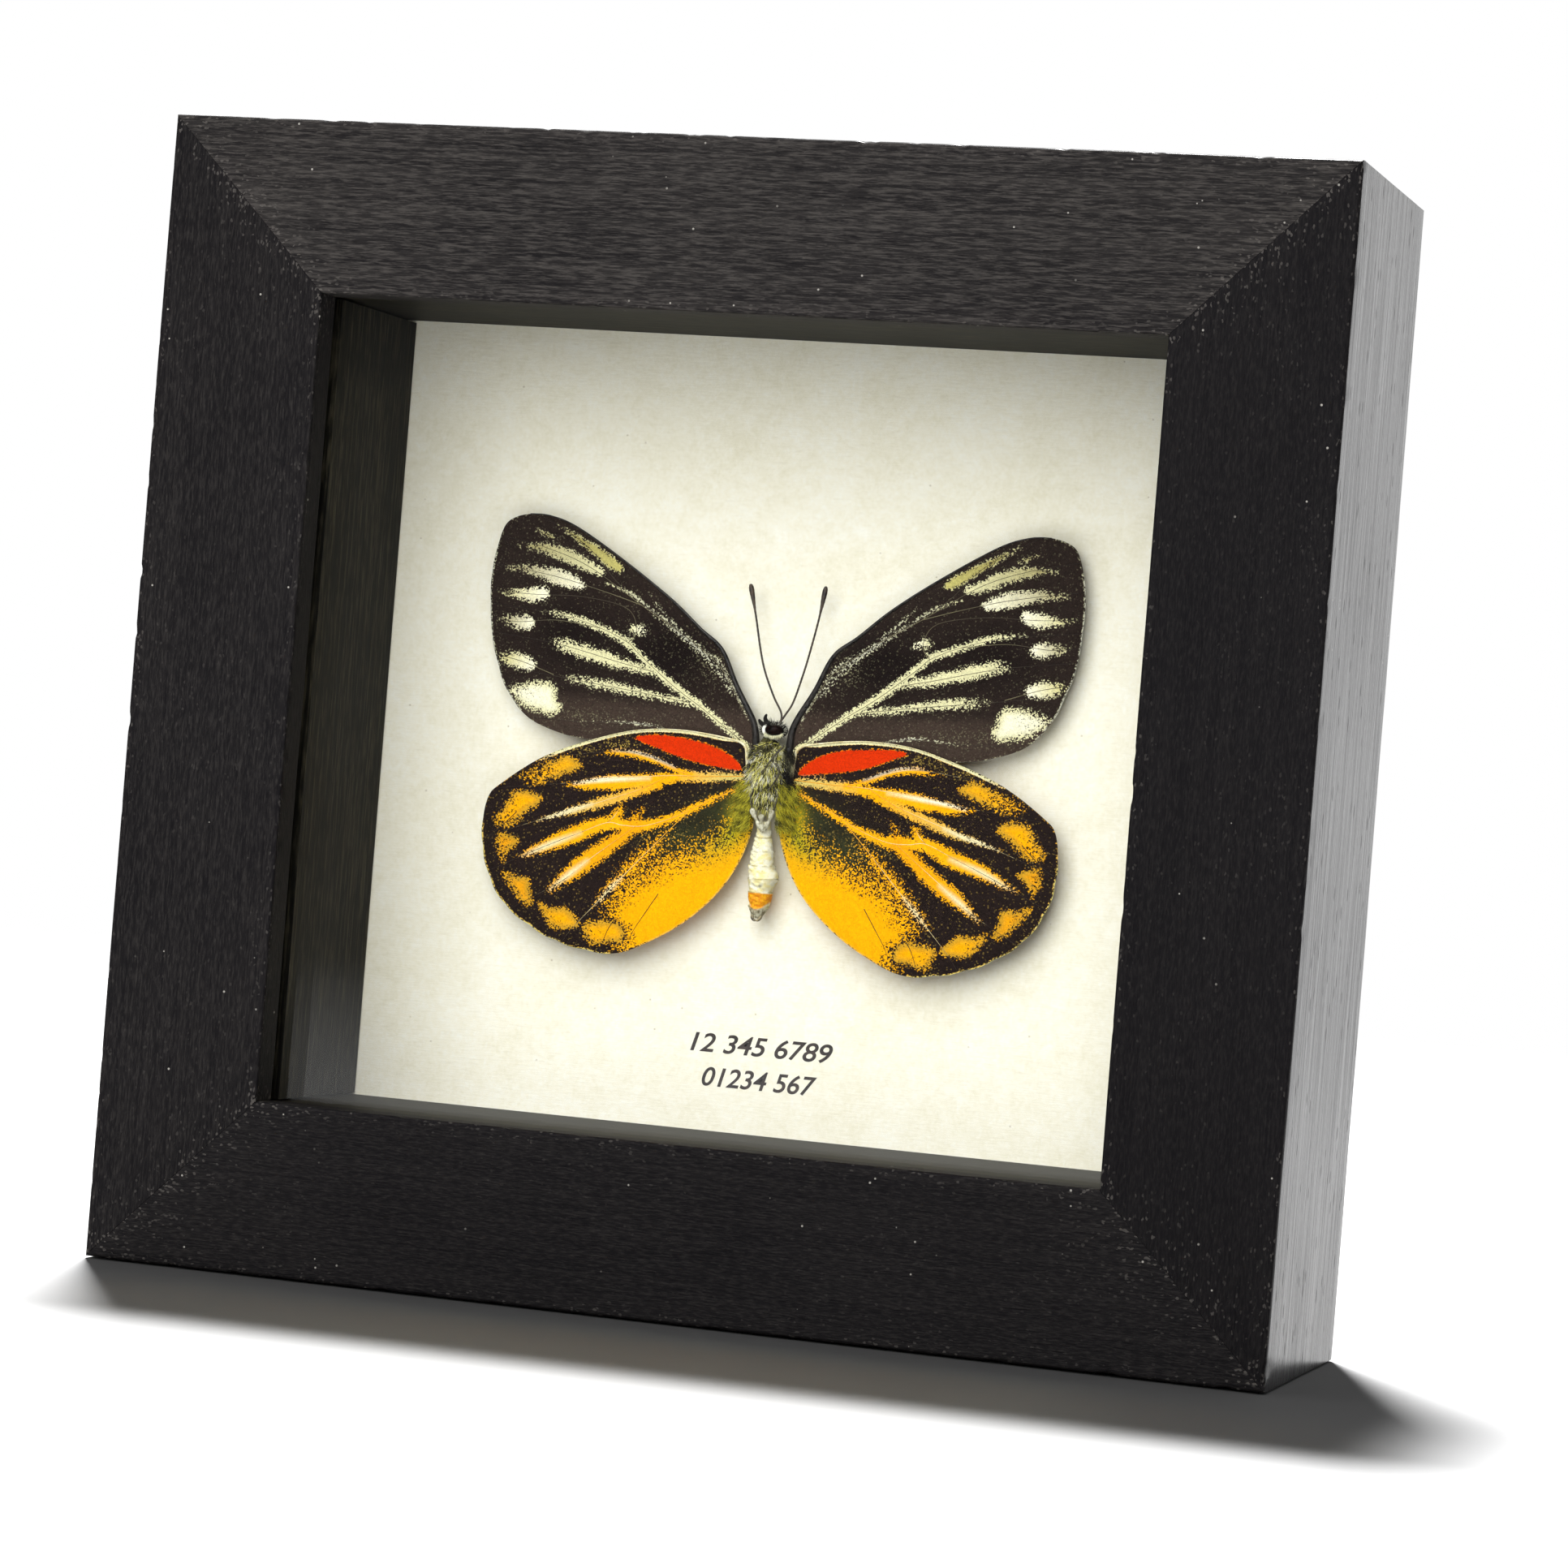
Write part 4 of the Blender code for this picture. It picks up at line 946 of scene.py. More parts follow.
def downFinish(name):
    # hair whose tone comes from the mesh, broken up along its length
    finish = Finish(name, {"Specular IOR Level": 0.15})
    strands = finish.noise((0.09, 0.09, 0.5), 3.0, 0.6, (4, 4, 1))
    colour = finish.shade(finish.attribute("tone"), strands * 1.1 + 0.6)
    rough = 0.6 + strands * 0.3
    finish.drive(Base_Color=colour, Roughness=rough, Normal=finish.bump(strands, 0.06))
    return finish


def chitinFinish(name, light, dark, roughness, shine=0.45):
    finish = Finish(name, {"Specular IOR Level": shine})
    patches = finish.noise((0.5, 0.5, 0.5), 4.0, 0.6)
    colour = finish.blend(patches.over(0.5, 0.3), dark, light)
    rough = patches * 0.2 + roughness
    finish.drive(Base_Color=colour, Roughness=rough, Normal=finish.bump(patches, 0.03))
    return finish


def hairGrid(roots, directions, lengths, radius, sag=0.25):
    # Each hair is a three-sided spike that bends as it leaves the skin:
    # root + direction * t + a droop that grows with t squared
    t = np.linspace(0, 1, 4)[None, :, None]
    droop = np.array((0.0, -0.2, -1.0)) * sag
    paths = roots[:, None] + lengths[:, None, None] * (directions[:, None] * t + droop * t**2)
    taper = radius * np.array((1.0, 0.8, 0.5, 0.12))
    return tubeGrid(paths, taper[None], 3, 1.0, (0.31, 0.2, 0.93))


def skinSpots(centre, sizes, count, topLimit=1.0):
    # places at random over the half of an ellipsoid that faces the glass, and its sides
    tilt = np.arccos(chance.uniform(-1, topLimit, count))
    turn = chance.uniform(math.pi * 0.93, math.pi * 2.07, count)
    unit = np.stack((np.sin(tilt) * np.cos(turn), np.sin(tilt) * np.sin(turn), np.cos(tilt)), -1)
    return np.array(centre) + unit * np.array(sizes) * 0.97, unit


def toneHairs(roots, grid, palette, seed):
    # Neighbouring hairs take similar tones: hairs are ranked by a smooth field with some noise
    # in it, and the ranks are shared out over the palette
    field = ripple(roots / mm, seed) + chance.uniform(-0.45, 0.45, len(roots))
    rank = field.argsort().argsort() / len(roots)
    edges = np.cumsum([share for _, share in palette])
    tones = np.array([tone[:3] for tone, _ in palette])
    chosen = tones[np.minimum(np.searchsorted(edges, rank), len(palette) - 1)]
    return shellValues(np.broadcast_to(chosen[:, None, None], (*grid.shape[:3], 3)))


def plainTone(grid, tone):
    return shellValues(np.broadcast_to(np.array(tone[:3]), (*grid.shape[:3], 3)))


def wingRootHair(sign):
    # long hair that lies out over the inner part of a hindwing, thinner the further out it is
    count = body["fluff"]
    spread = chance.uniform(0, 1, (count, 2))
    out = 1.5 + 2.2 * spread[:, 0] ** 1.4
    up = -0.6 - 5.6 * spread[:, 1]
    place = np.stack((sign * out, -0.2 + 0 * out, up), -1) * mm
    start = np.array((bodyX, middleOf("hindwing_left")[1], bodyZ)) + place
    start[:, 1] -= (1.1 - 0.8 * spread[:, 0]) * mm
    way = np.array((0.62 * sign, -0.12, -0.72)) + chance.normal(0, 0.32, (count, 3))
    lengths = chance.uniform(0.5, 1.35, count) * mm
    return start, hairGrid(start, unitRows(way), lengths, body["fluffRadius"] * mm, 0.1)


def shoulderHair(sign):
    # short dark hair down the edge of the thorax, over a wider strip on the right
    count = body["fluff"]
    spread = chance.uniform(0, 1, (count, 2))
    out = 1.7 + (0.7 if sign < 0 else 1.3) * spread[:, 0]
    up = 3.2 - 4.6 * spread[:, 1]
    place = np.stack((sign * out, -0.9 + 0.3 * spread[:, 0], up), -1) * mm
    start = np.array((bodyX, middleOf("hindwing_left")[1], bodyZ)) + place
    way = np.array((0.3 * sign, -0.15, -0.85)) + chance.normal(0, 0.3, (count, 3))
    lengths = chance.uniform(0.4, 1.0, count) * mm
    return start, hairGrid(start, unitRows(way), lengths, body["shoulderRadius"] * mm, 0.1)


def buildBody():
    sizes = np.array(body["thoraxSize"]) * mm
    middle = thoraxMiddle + np.array((-0.25, 0, 0.1)) * mm
    core = ballGrid(middle, sizes, 48, 64, 0.09, 0.7)
    roots, unit = skinSpots(middle, sizes, body["hairs"])
    ways = unitRows(unit * 0.7 + np.array((0, -0.15, -0.75)) + chance.normal(0, 0.42, unit.shape))
    lengths = chance.uniform(0.4, 1, len(roots)) * body["hairLength"] * mm
    hair = hairGrid(roots, ways, lengths, body["hairRadius"] * mm)
    fluffs, shoulders = [], []
    for sign in sides.values():
        fluffs.append(wingRootHair(sign))
        shoulders.append(shoulderHair(sign))
    parts = [core, hair] + [grid for _, grid in fluffs + shoulders]
    tones = [plainTone(core, paint(74, 70, 40)), toneHairs(roots, hair, downTones["body"], 21)]
    tones += [toneHairs(start, grid, downTones["wingRoot"], 22) for start, grid in fluffs]
    tones += [toneHairs(start, grid, downTones["shoulder"], 23) for start, grid in shoulders]
    down = downFinish("bodyDown")
    arrays = joinArrays([shellArrays(grid) for grid in parts])
    attributes = {"tone": np.concatenate(tones)}
    addPiece("thorax_down", arrays, down, ("thorax",), attributes)
    buildCoxae()
    buildHead(down)
    buildAbdomen()
    buildClaspers()
    buildLegs()
    buildAntennae()
    print("body set")


# (right, up) from the middle of the thorax
coxaPaths = {
    "left": ((-1.35, -4.0), (-0.9, -4.9), (-0.45, -5.7), (-0.1, -6.5)),
    "right": ((1.15, -4.0), (0.95, -4.9), (0.6, -5.7), (0.3, -6.4)),
    "middle": ((-0.15, -4.6), (-0.1, -5.2), (0.0, -5.8), (0.05, -6.6)),
}


def buildCoxae():
    # the pale bases of the hind legs, which meet in a V over the top of the abdomen
    finish = chitinFinish("coxaScales", paint(226, 222, 200), paint(128, 122, 92), 0.7, 0.15)
    for name, path in coxaPaths.items():
        line = smoothPath(path, 10)
        t = np.linspace(0, 1, len(line))
        depth = -1.75 + 0.35 * t
        points = np.stack((line[:, 0], depth, line[:, 1]), -1) * mm + thoraxMiddle
        thick = (0.28 - 0.08 * t + 0.07 * np.sin(11 * t)) * mm
        base = shellArrays(tubeGrid(points[None], thick, 16, 0.8))
        addPiece("coxa_" + name, base, finish)


# Balls are (middle, half sizes) in mm, from a point straight above the thorax's middle.
head = {
    "place": (0.15, -0.2, 5.5),
    "skull": ((-0.1, 0.6, 0), (1.6, 1.1, 1.0)),
    "scalp": ((-0.2, 0.3, 0), (1.5, 1.0, 0.95)),
    "cheek": ((-1.0, -0.55, -0.05), (0.34, 0.4, 0.55)),
    "eye": ((0.2, -0.65, 0.0), (1.15, 0.75, 0.68)),
    "palps": (
        ((-1.0, -0.3, 0.3), (-1.75, -0.75, 1.1)), ((-0.8, -0.3, 0.6), (-0.85, -0.8, 1.75)),
    ),
    "palpBend": (-0.2, -0.1, 0.1),
    "tuftHairs": 420,
    "tuftRadius": 0.03,
    "collarHairs": 300,
    "collarRadius": 0.04,
}


def buildHead(down):
    middle = thoraxMiddle + np.array(head["place"]) * mm
    places = {}
    for name in ("skull", "scalp", "cheek", "eye"):
        centre, sizes = head[name]
        places[name] = (middle + np.array(centre) * mm, np.array(sizes) * mm)
    skull = ballGrid(*places["skull"], 24, 32, 0.08)
    roots, unit = skinSpots(*places["scalp"], head["tuftHairs"])
    ways = unitRows(unit + np.array((-0.1, -0.1, 0.3)) + chance.normal(0, 0.4, unit.shape))
    lengths = chance.uniform(0.3, 0.75, len(roots)) * mm
    tuft = hairGrid(roots, ways, lengths, head["tuftRadius"] * mm, 0.0)
    count = head["collarHairs"]
    across = chance.uniform(-1.05, 1.15, count)
    below = -0.68 + 0.3 * (across / 1.1) ** 2 + chance.uniform(-0.12, 0.05, count)
    under = np.stack((0.15 + across, chance.uniform(-1.0, -0.5, count), below), -1) * mm
    ways = unitRows(np.array((0.0, -0.35, -0.8)) + chance.normal(0, 0.3, (count, 3)))
    lengths = chance.uniform(0.15, 0.4, count) * mm
    collar = hairGrid(middle + under, ways, lengths, head["collarRadius"] * mm)
    cheek = ballGrid(*places["cheek"], 16, 24, 0.1)
    palps = []
    for start, tip in head["palps"]:
        bend = (np.array(start) + np.array(tip)) / 2 + np.array(head["palpBend"])
        line = smoothPath((start, bend, tip), 8) * mm + middle
        palps.append(tubeGrid(line[None], np.linspace(0.36, 0.12, len(line)) * mm, 12))
    parts = [skull, tuft, collar, cheek] + palps
    tones = [
        plainTone(skull, paint(30, 27, 24)),
        toneHairs(roots, tuft, downTones["head"], 31),
        plainTone(collar, paint(234, 230, 196)),
        plainTone(cheek, paint(238, 236, 224)),
    ]
    tones += [plainTone(grid, paint(28, 24, 22)) for grid in palps]
    arrays = joinArrays([shellArrays(grid) for grid in parts])
    addPiece("head_down", arrays, down, ("head",), {"tone": np.concatenate(tones)})
    gloss = chitinFinish("eyeGloss", paint(24, 8, 6), paint(5, 3, 3), 0.05, 0.05)
    ball = ballGrid(*places["eye"], 28, 40, 0.01)
    addPiece("eye", shellArrays(ball), gloss)


abdomen = {
    # (up, half width, shift to the right) in mm from the middle of the thorax
    "profile": (
        (-5.4, 0.7, -0.1), (-6.4, 0.88, -0.12), (-7.6, 1.02, -0.14), (-8.7, 1.24, -0.12),
        (-10.0, 1.38, -0.1), (-11.0, 1.48, -0.08), (-12.0, 1.64, 0.1), (-12.9, 1.54, 0.08),
        (-13.7, 1.38, 0.0), (-14.7, 1.36, 0.0), (-15.5, 1.18, -0.04), (-16.3, 0.84, -0.14),
        (-16.85, 0.5, -0.18),
    ),
    "rings": (-7.3, -8.9, -10.6, -12.15, -13.75, -15.45),
    "step": 0.12,
    "rows": 190,
    "columns": 56,
    "bulge": (0.22, -11.7, 0.7),  # its height, place and size, on the right
    "orangeTop": -13.7,
    "orangeBottom": -15.9,
    "tipTop": -15.3,
    "speck": (0.35, -12.9),
    "speckSize": (0.2, 0.16),
    "cream": paint(255, 251, 226),
    "yellowish": paint(246, 230, 150),
    # the stain tone also serves as painted shade in the folds at the rings
    "stain": paint(150, 134, 72),
    "orange": paint(255, 184, 20),
    "rust": paint(232, 140, 22),
    "tip": paint(126, 114, 84),
}


def abdomenFinish():
    # cream scales with yellowish patches and stains, painted shade in the folds at the rings, an
    # orange band and a dull tip
    finish = Finish("abdomenScales", {"Specular IOR Level": 0.2})
    streaks = finish.noise((0.4, 0.4, 1.2), 4.0, 0.65)
    patch = finish.noise((1.1, 1.1, 0.8), 4.0, 0.6, (3, 3, 9))
    fine = finish.part(finish.cells((0.11, 0.11, 0.11), "Color"))
    creamy = finish.blend(patch.over(0.52, 0.16) * 0.8, abdomen["cream"], abdomen["yellowish"])
    creamy = finish.blend((streaks + fine * 0.3).over(0.82, 0.2) * 0.35, creamy, abdomen["stain"])
    # painted shade: the folds at the rings are darkened towards the stain tone
    foldShade = finish.attribute("crease", "Fac") * patch.over(0.42, 0.2)
    creamy = finish.blend(foldShade * 0.8, creamy, abdomen["stain"])
    creamy = finish.blend(finish.attribute("speck", "Fac") * 0.85, creamy, paint(70, 62, 40))
    glow = finish.blend((patch + fine * 0.3).over(0.64, 0.2), abdomen["orange"], abdomen["rust"])
    end = finish.blend(streaks.over(0.52, 0.2), abdomen["tip"], paint(226, 220, 192))
    colour = finish.blend(finish.attribute("tip", "Fac"), creamy, end)
    colour = finish.blend(finish.attribute("orange", "Fac"), colour, glow)
    height = fine * 0.4 + streaks + patch
    rough = 0.55 + fine * 0.2
    finish.drive(Base_Color=colour, Roughness=rough, Normal=finish.bump(height, 0.07))
    return finish


def buildAbdomen():
    # A round body: its half width runs along the profile, with a small step up at each ring,
    # and its surface has slow waves so that the scales lie unevenly
    rows, columns = abdomen["rows"], abdomen["columns"]
    knots = smoothPath(abdomen["profile"], 12)
    up = np.linspace(knots[0, 0], knots[-1, 0], rows)
    width = np.interp(-up, -knots[:, 0], knots[:, 1])
    shift = np.interp(-up, -knots[:, 0], knots[:, 2])
    rings = np.array(abdomen["rings"])
    past = (rings[None] - up[:, None]) / 1.5
    saw = np.where(past > 0, np.exp(-past * 1.6), 0).sum(axis=1) * smoothStep(past.max(axis=1) / 0.05)
    # painted shade along the fold at each ring, which the finish darkens
    crease = np.exp(-(((up[:, None] - rings[None]) / 0.09) ** 2)).sum(axis=1)
    radius = width * (1 + abdomen["step"] * (saw - 0.4)) * np.clip((up - up[-1]) / 0.3, 0, 1) ** 0.5
    turn = 2 * np.pi * np.arange(columns) / columns
    height, place, size = abdomen["bulge"]
    bulge = height * np.exp(-(((up[:, None] - place) / size) ** 2)) * np.clip(np.cos(turn), 0, 1)
    x = shift[:, None] + radius[:, None] * (1 + bulge) * np.cos(turn)
    y = radius[:, None] * np.sin(turn) * 0.95
    z = up[:, None] + 0.14 * np.cos(turn) ** 2 + 0 * x
    grid = np.stack((x, y, z), -1)
    grid += 0.07 * ripple(grid * 1.5, 9)[..., None] * np.array((1, 1, 0))
    grid = (np.array((bodyX, thoraxMiddle[1], bodyZ)) + grid * mm)[None]
    orange = smoothStep((abdomen["orangeTop"] - z) / 0.12)
    lower = z - abdomen["orangeBottom"] - 0.9 * np.cos(turn) ** 2
    across = (x - abdomen["speck"][0]) / abdomen["speckSize"][0]
    above = (z - abdomen["speck"][1]) / abdomen["speckSize"][1]
    values = {
        "orange": orange * smoothStep(lower / 0.4),
        "tip": smoothStep((abdomen["tipTop"] - z) / 0.5),
        "speck": np.exp(-(across**2) - above**2),
        "crease": np.repeat(crease, columns),
    }
    shape = (1, rows, columns, 1)
    attributes = {key: shellValues(value.reshape(shape)) for key, value in values.items()}
    shell = shellArrays(grid)
    addPiece("abdomen_rings", shell, abdomenFinish(), ("abdomen",), attributes)


claspers = {
    "path": ((0.42, -0.2, 0.5), (0.5, -0.4, 0.0), (0.26, -0.5, -0.3), (0.04, -0.45, -0.34)),
    "place": (-0.15, 0, -16.65),
    "radius": (0.26, 0.1),
}


def buildClaspers():
    # two hooks at the tip of the abdomen that bend towards each other
    hooks = []
    finish = chitinFinish("clasperChitin", paint(170, 156, 120), paint(40, 30, 22), 0.35)
    for sign in sides.values():
        path = np.array(claspers["path"]) * np.array((sign, 1, 1)) + np.array(claspers["place"])
        line = smoothPath(np.array((bodyX, thoraxMiddle[1], bodyZ)) + path * mm, 8)
        thick = np.linspace(*claspers["radius"], len(line)) * mm
        hooks.append(shellArrays(tubeGrid(line[None], thick, 12)))
    addPiece("claspers", joinArrays(hooks), finish)


# Each leg is (out, towards the glass, up) from the middle of the thorax, in mm
legPaths = {
    "leg_front_left": ((-0.9, 1.5, 3.0), (-1.7, 1.6, 2.2), (-1.7, 1.6, 0.8), (-1.4, 1.7, -0.2)),
    "leg_front_right": ((2.0, 1.9, 3.7), (1.2, 2.4, 2.6), (0.3, 2.6, 1.2), (-0.3, 2.5, 0.1)),
    "leg_middle_left": ((-0.9, 1.7, 0.6), (-1.7, 1.6, -0.3), (-1.5, 1.8, -1.4), (-0.9, 1.9, -2.3)),
    "leg_middle_right": ((1.2, 1.9, 1.6), (1.7, 2.0, 0.6), (1.2, 2.3, -0.8), (0.5, 2.25, -1.7)),
    "leg_hind_left": ((-0.8, 1.6, -1.6), (-1.6, 1.6, -2.2), (-1.5, 1.7, -3.3), (-1.3, 1.6, -4.2)),
    "leg_hind_right": ((0.9, 1.6, -1.2), (1.6, 1.6, -2.0), (1.5, 1.7, -3.2), (1.2, 1.6, -4.1)),
}

legSpines = 46
legSpineRadius = 0.016


def buildLegs():
    # a tapering tube with a knee and an ankle, and short spines over most of its length
    dark = chitinFinish("legChitin", paint(92, 86, 62), paint(30, 26, 20), 0.45)
    for name, path in legPaths.items():
        points = thoraxMiddle + np.array(path) * np.array((1, -1, 1)) * mm
        line = smoothPath(points, 12)
        t = np.linspace(0, 1, len(line))
        thick = 0.13 - 0.06 * t + 0.04 * np.exp(-(((t - 0.25) / 0.05) ** 2))
        thick = thick + 0.02 * np.exp(-(((t - 0.62) / 0.04) ** 2))
        leg = shellArrays(tubeGrid(line[None], thick * mm, 10))
        roots = line[chance.integers(6, len(line) - 4, legSpines)]
        ways = unitRows(chance.normal(0, 1, (legSpines, 3)) + np.array((0, -0.5, -0.6)))
        lengths = chance.uniform(0.18, 0.4, legSpines) * mm
        spines = shellArrays(hairGrid(roots, ways, lengths, legSpineRadius * mm))
        addPiece(name + "_jointed", joinArrays((leg, spines)), dark, (name,))


antennaPaths = {
    "left": (
        (-0.75, 6.4), (-0.7, 7.6), (0.35, 9.4), (1.65, 12.2), (2.45, 14.8), (3.4, 18.9), (4.3, 22.4),
    ),
    "right": (
        (0.55, 6.3), (1.3, 7.5), (2.1, 9.0), (3.0, 12.2), (3.6, 14.8), (4.4, 18.9), (4.95, 22.7),
    ),
}

# mm, and the share of the way along at which the club starts and has its full width
antenna = {
    "radius": 0.125,
    "joints": 46,
    "jointDepth": 0.012,
    "clubRadius": 0.2,
    "clubStart": 0.84,
    "clubFull": 0.96,
}


def buildAntennae():
    # A thin rod of many short joints that swells into a club, blunt at its end
    finish = chitinFinish("antennaChitin", paint(74, 58, 44), paint(26, 20, 18), 0.35)
    y = middleOf("antenna_left")[1]
    for side, path in antennaPaths.items():
        out, up = smoothPath(path, 40).T
        line = (bodyX + sides[side] * out * mm, np.full(len(out), y), bodyZ + up * mm)
        t = np.linspace(0, 1, len(out))
        joints = antenna["jointDepth"] * np.cos(t * 2 * np.pi * antenna["joints"])
        swell = (t - antenna["clubStart"]) / (antenna["clubFull"] - antenna["clubStart"])
        club = smoothStep(swell) * (1 - 0.55 * smoothStep((t - 0.965) / 0.04))
        thick = (antenna["radius"] + joints + antenna["clubRadius"] * club) * mm
        rod = shellArrays(tubeGrid(np.stack(line, -1)[None], thick, 12, 0.85))
        name = "antenna_" + side
        addPiece(name + "_jointed", rod, finish, (name,))


# Sizes of the moulding in mm. Its width, depth and lip come from the frame itself. Each corner
# of its section is eased: front outside and inside, the lip's back, the rabbet, both back ones.
rails = {
    "eases": (0.6, 0.45, 0.15, 0.1, 0.1, 0.5),
    "clearance": 0.3,
    "mitreGap": 0.03,
    "rows": 230,
    "dent": 0.16,
    "dentReach": 1.1,
    "unevenness": 0.05,
    "wearReach": 3.5,
}

# Tones and grain of the stained wood. Each rail: grain length and width in mm, share of pale fibre,
# shift
wood = {
    "black": paint(15, 14, 16),
    "wornAndLit": paint(60, 57, 55),
    "dust": paint(176, 172, 164),
    "roughness": 0.42,
    # the share of pale fibre is painted light and shade: high on the top rail, as if lit from above,
    # and low on the others
    "grain": {
        "top": (2.2, 0.2, 1.9, (3, 1, 0)),
        "bottom": (1.2, 0.22, 0.55, (9, 4, 2)),
        "left": (1.6, 0.24, 0.62, (1, 8, 5)),
        "right": (1.1, 0.24, 0.32, (6, 2, 7)),
    },
}


def alongGrain(side, length, width):
    # lump sizes in mm for a grain that runs along a rail or a spacer
    along = "x" if side in ("top", "bottom") else "z"
    return tuple(length if axis == along else width for axis in "xyz")


def railFinish(side):
    # black stain with short pale fibres, painted paler on the top rail as light from above and darker
    # on the others, specks of bare grain near the mitres, and some dust
    length, width, share, shift = wood["grain"][side]
    finish = Finish("blackStainedWood_" + side, {"Specular IOR Level": 0.026, "Coat Roughness": 0.22})
    fibre = finish.noise(alongGrain(side, length, width), 3.0, 0.7, shift)
    streak = finish.noise(alongGrain(side, 26.0, 0.45), 3.0, 0.6, shift)
    pores = finish.noise(alongGrain(side, 2.4, 0.14), 2.0, 0.6, (shift[1], shift[2], shift[0]))
    cloud = finish.noise((16, 16, 16), 3.0, 0.55, shift)
    wear = finish.attribute("wear", "Fac")
    grain = finish.cells(alongGrain(side, 0.34, 0.2), "Color", shift=shift)
    bare = (finish.part(grain, 0) + wear * 0.1 + cloud * 0.1).over(1.055, 0.06)
    dusty = (0.05 - finish.cells((2.6, 2.6, 2.6), "Distance", shift=shift)).over(0.0, 0.015)
    pale = fibre.over(0.6, 0.3) * 0.62 + streak.over(0.55, 0.3) * 0.16 + cloud * 0.14
    # painted light and shade: the rail's share makes the top rail's fibres paler and the other rails'
    # fibres darker
    colour = finish.blend(pale * share, wood["black"], wood["wornAndLit"])
    colour = finish.blend(pores.over(0.64, 0.1) * 0.6, colour, paint(12, 11, 13))
    colour = finish.blend(bare * (0.22 + wear * 0.2), colour, paint(96, 92, 88))
    colour = finish.blend(dusty * cloud.over(0.5, 0.1) * 0.6, colour, wood["dust"])
    height = fibre * 0.5 + streak * 0.5 + finish.part(grain, 1) * 0.18 - pores.over(0.6, 0.3) * 0.4
    rough = wood["roughness"] + fibre * 0.16 + streak * 0.1
    nick = (0.16 - finish.cells(alongGrain(side, 5.0, 1.6), "Distance", shift=shift)).over(0.0, 0.05)
    sheen = 0.3 + streak.over(0.5, 0.35) * 0.4 + fibre.over(0.5, 0.4) * 0.16
    coat = finish.attribute("outer", "Fac") * sheen * (1 - nick * 0.5)
    finish.drive(Base_Color=colour, Roughness=rough, Coat_Weight=coat)
    finish.drive(Normal=finish.bump(height, 0.07, 0.8))
    return finish


def mouldingProfile(width, depth, lip, wall):
    # The rail's closed section as (inwards, back) points: six corners, each rounded by a
    # quadratic curve from a point before it to a point after it, with straight runs between
    corners = np.array(((0, 0), (width, 0), (width, lip), (wall, lip), (wall, depth), (0, depth)))
    ease = np.array(rails["eases"])[:, None]
    after = unitRows(np.roll(corners, -1, axis=0) - corners)
    start = (corners - ease * np.roll(after, 1, axis=0))[:, None]
    end = (corners + ease * after)[:, None]
    t = np.linspace(0, 1, 8)[None, :, None]
    arc = (1 - t) ** 2 * start + 2 * t * (1 - t) * corners[:, None] + t**2 * end
    t = np.linspace(0, 1, 20)[None, 1:-1, None]
    run = end + t * (np.roll(start, -1, axis=0) - end)
    return np.concatenate((arc, run), axis=1).reshape(-1, 2)


def buildRails():
    # Each rail carries the section along its length, cut off at 45 degrees at both ends.
    # Its surface is sunk by slow waves, and by small dents along its two front edges.
    low, high = (np.array(corner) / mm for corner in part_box("rail_bottom"))
    glass = np.array(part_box("glass_pane")[0]) / mm
    width, depth = high[2] - low[2], high[1] - low[1]
    lip = glass[1] - low[1] - rails["clearance"]
    wall = glass[2] - low[2] - rails["clearance"]
    outside = (np.array(cadHigh) - np.array(cadLow)) / mm
    section = mouldingProfile(width, depth, lip, wall)
    slope = np.roll(section, -1, axis=0) - np.roll(section, 1, axis=0)
    outwards = unitRows(np.stack((slope[:, 1], -slope[:, 0]), -1))
    corner = np.minimum(np.hypot(*section.T), np.hypot(section[:, 0] - width, section[:, 1]))
    edge = np.exp(-((corner / rails["dentReach"]) ** 2))
    for side, turned in {"bottom": 0, "top": 2, "left": 1, "right": 3}.items():
        length = outside[0] if turned % 2 == 0 else outside[2]
        reach = length / 2 - rails["mitreGap"] - section[:, 0]
        u = np.concatenate(([-1, -0.9993], np.linspace(-0.994, 0.994, rails["rows"]), [0.9993, 1]))
        x = u[:, None] * reach
        flat = np.stack((x, section[:, 0] + 0 * x, section[:, 1] + 0 * x), -1)
        seed = 60 + turned
        dent = rails["dent"] * edge * smoothStep((ripple(flat / 2.2, seed) - 0.35) / 0.6)
        sink = dent + rails["unevenness"] * (1 + ripple(flat / 16, seed + 4)) / 2
        sunk = section - sink[..., None] * outwards
        grid = np.stack((x, sunk[..., 1], sunk[..., 0]), -1)
        middle = np.array((1, lip / 2, wall / 2))
        caps = middle * np.array((length / 2 - rails["mitreGap"] - wall / 2, 1, 1))
        first = np.tile(caps * np.array((-1, 1, 1)), (1, len(section), 1))
        last = np.tile(caps, (1, len(section), 1))
        grid = np.concatenate((first, grid, last))
        across = (outside[2] if turned % 2 == 0 else outside[0]) / 2
        angle = -turned * math.pi / 2
        spin = np.array(((math.cos(angle), -math.sin(angle)), (math.sin(angle), math.cos(angle))))
        planar = grid[..., [0, 2]] - np.array((0, across))
        planar = planar @ spin.T + np.array((0, outside[2] / 2))
        placed = np.stack((planar[..., 0], grid[..., 1] + low[1], planar[..., 1]), -1)
        toMitre = length / 2 - section[:, 0] - np.abs(x)
        wear = np.exp(-toMitre / rails["wearReach"]) + 0.5 * edge
        wear = np.concatenate((wear[:1], wear, wear[-1:]))[None, ..., None]
        outer = np.broadcast_to(smoothStep((-outwards[:, 0] - 0.6) / 0.3)[:, None], wear.shape)
        attributes = {"wear": shellValues(wear), "outer": shellValues(outer)}
        finish = railFinish(side)
        name = "rail_" + side
        arrays = shellArrays(placed[None] * mm)
        addPiece(name + "_stained", arrays, finish, (name,), attributes)
    print("rails mitred")


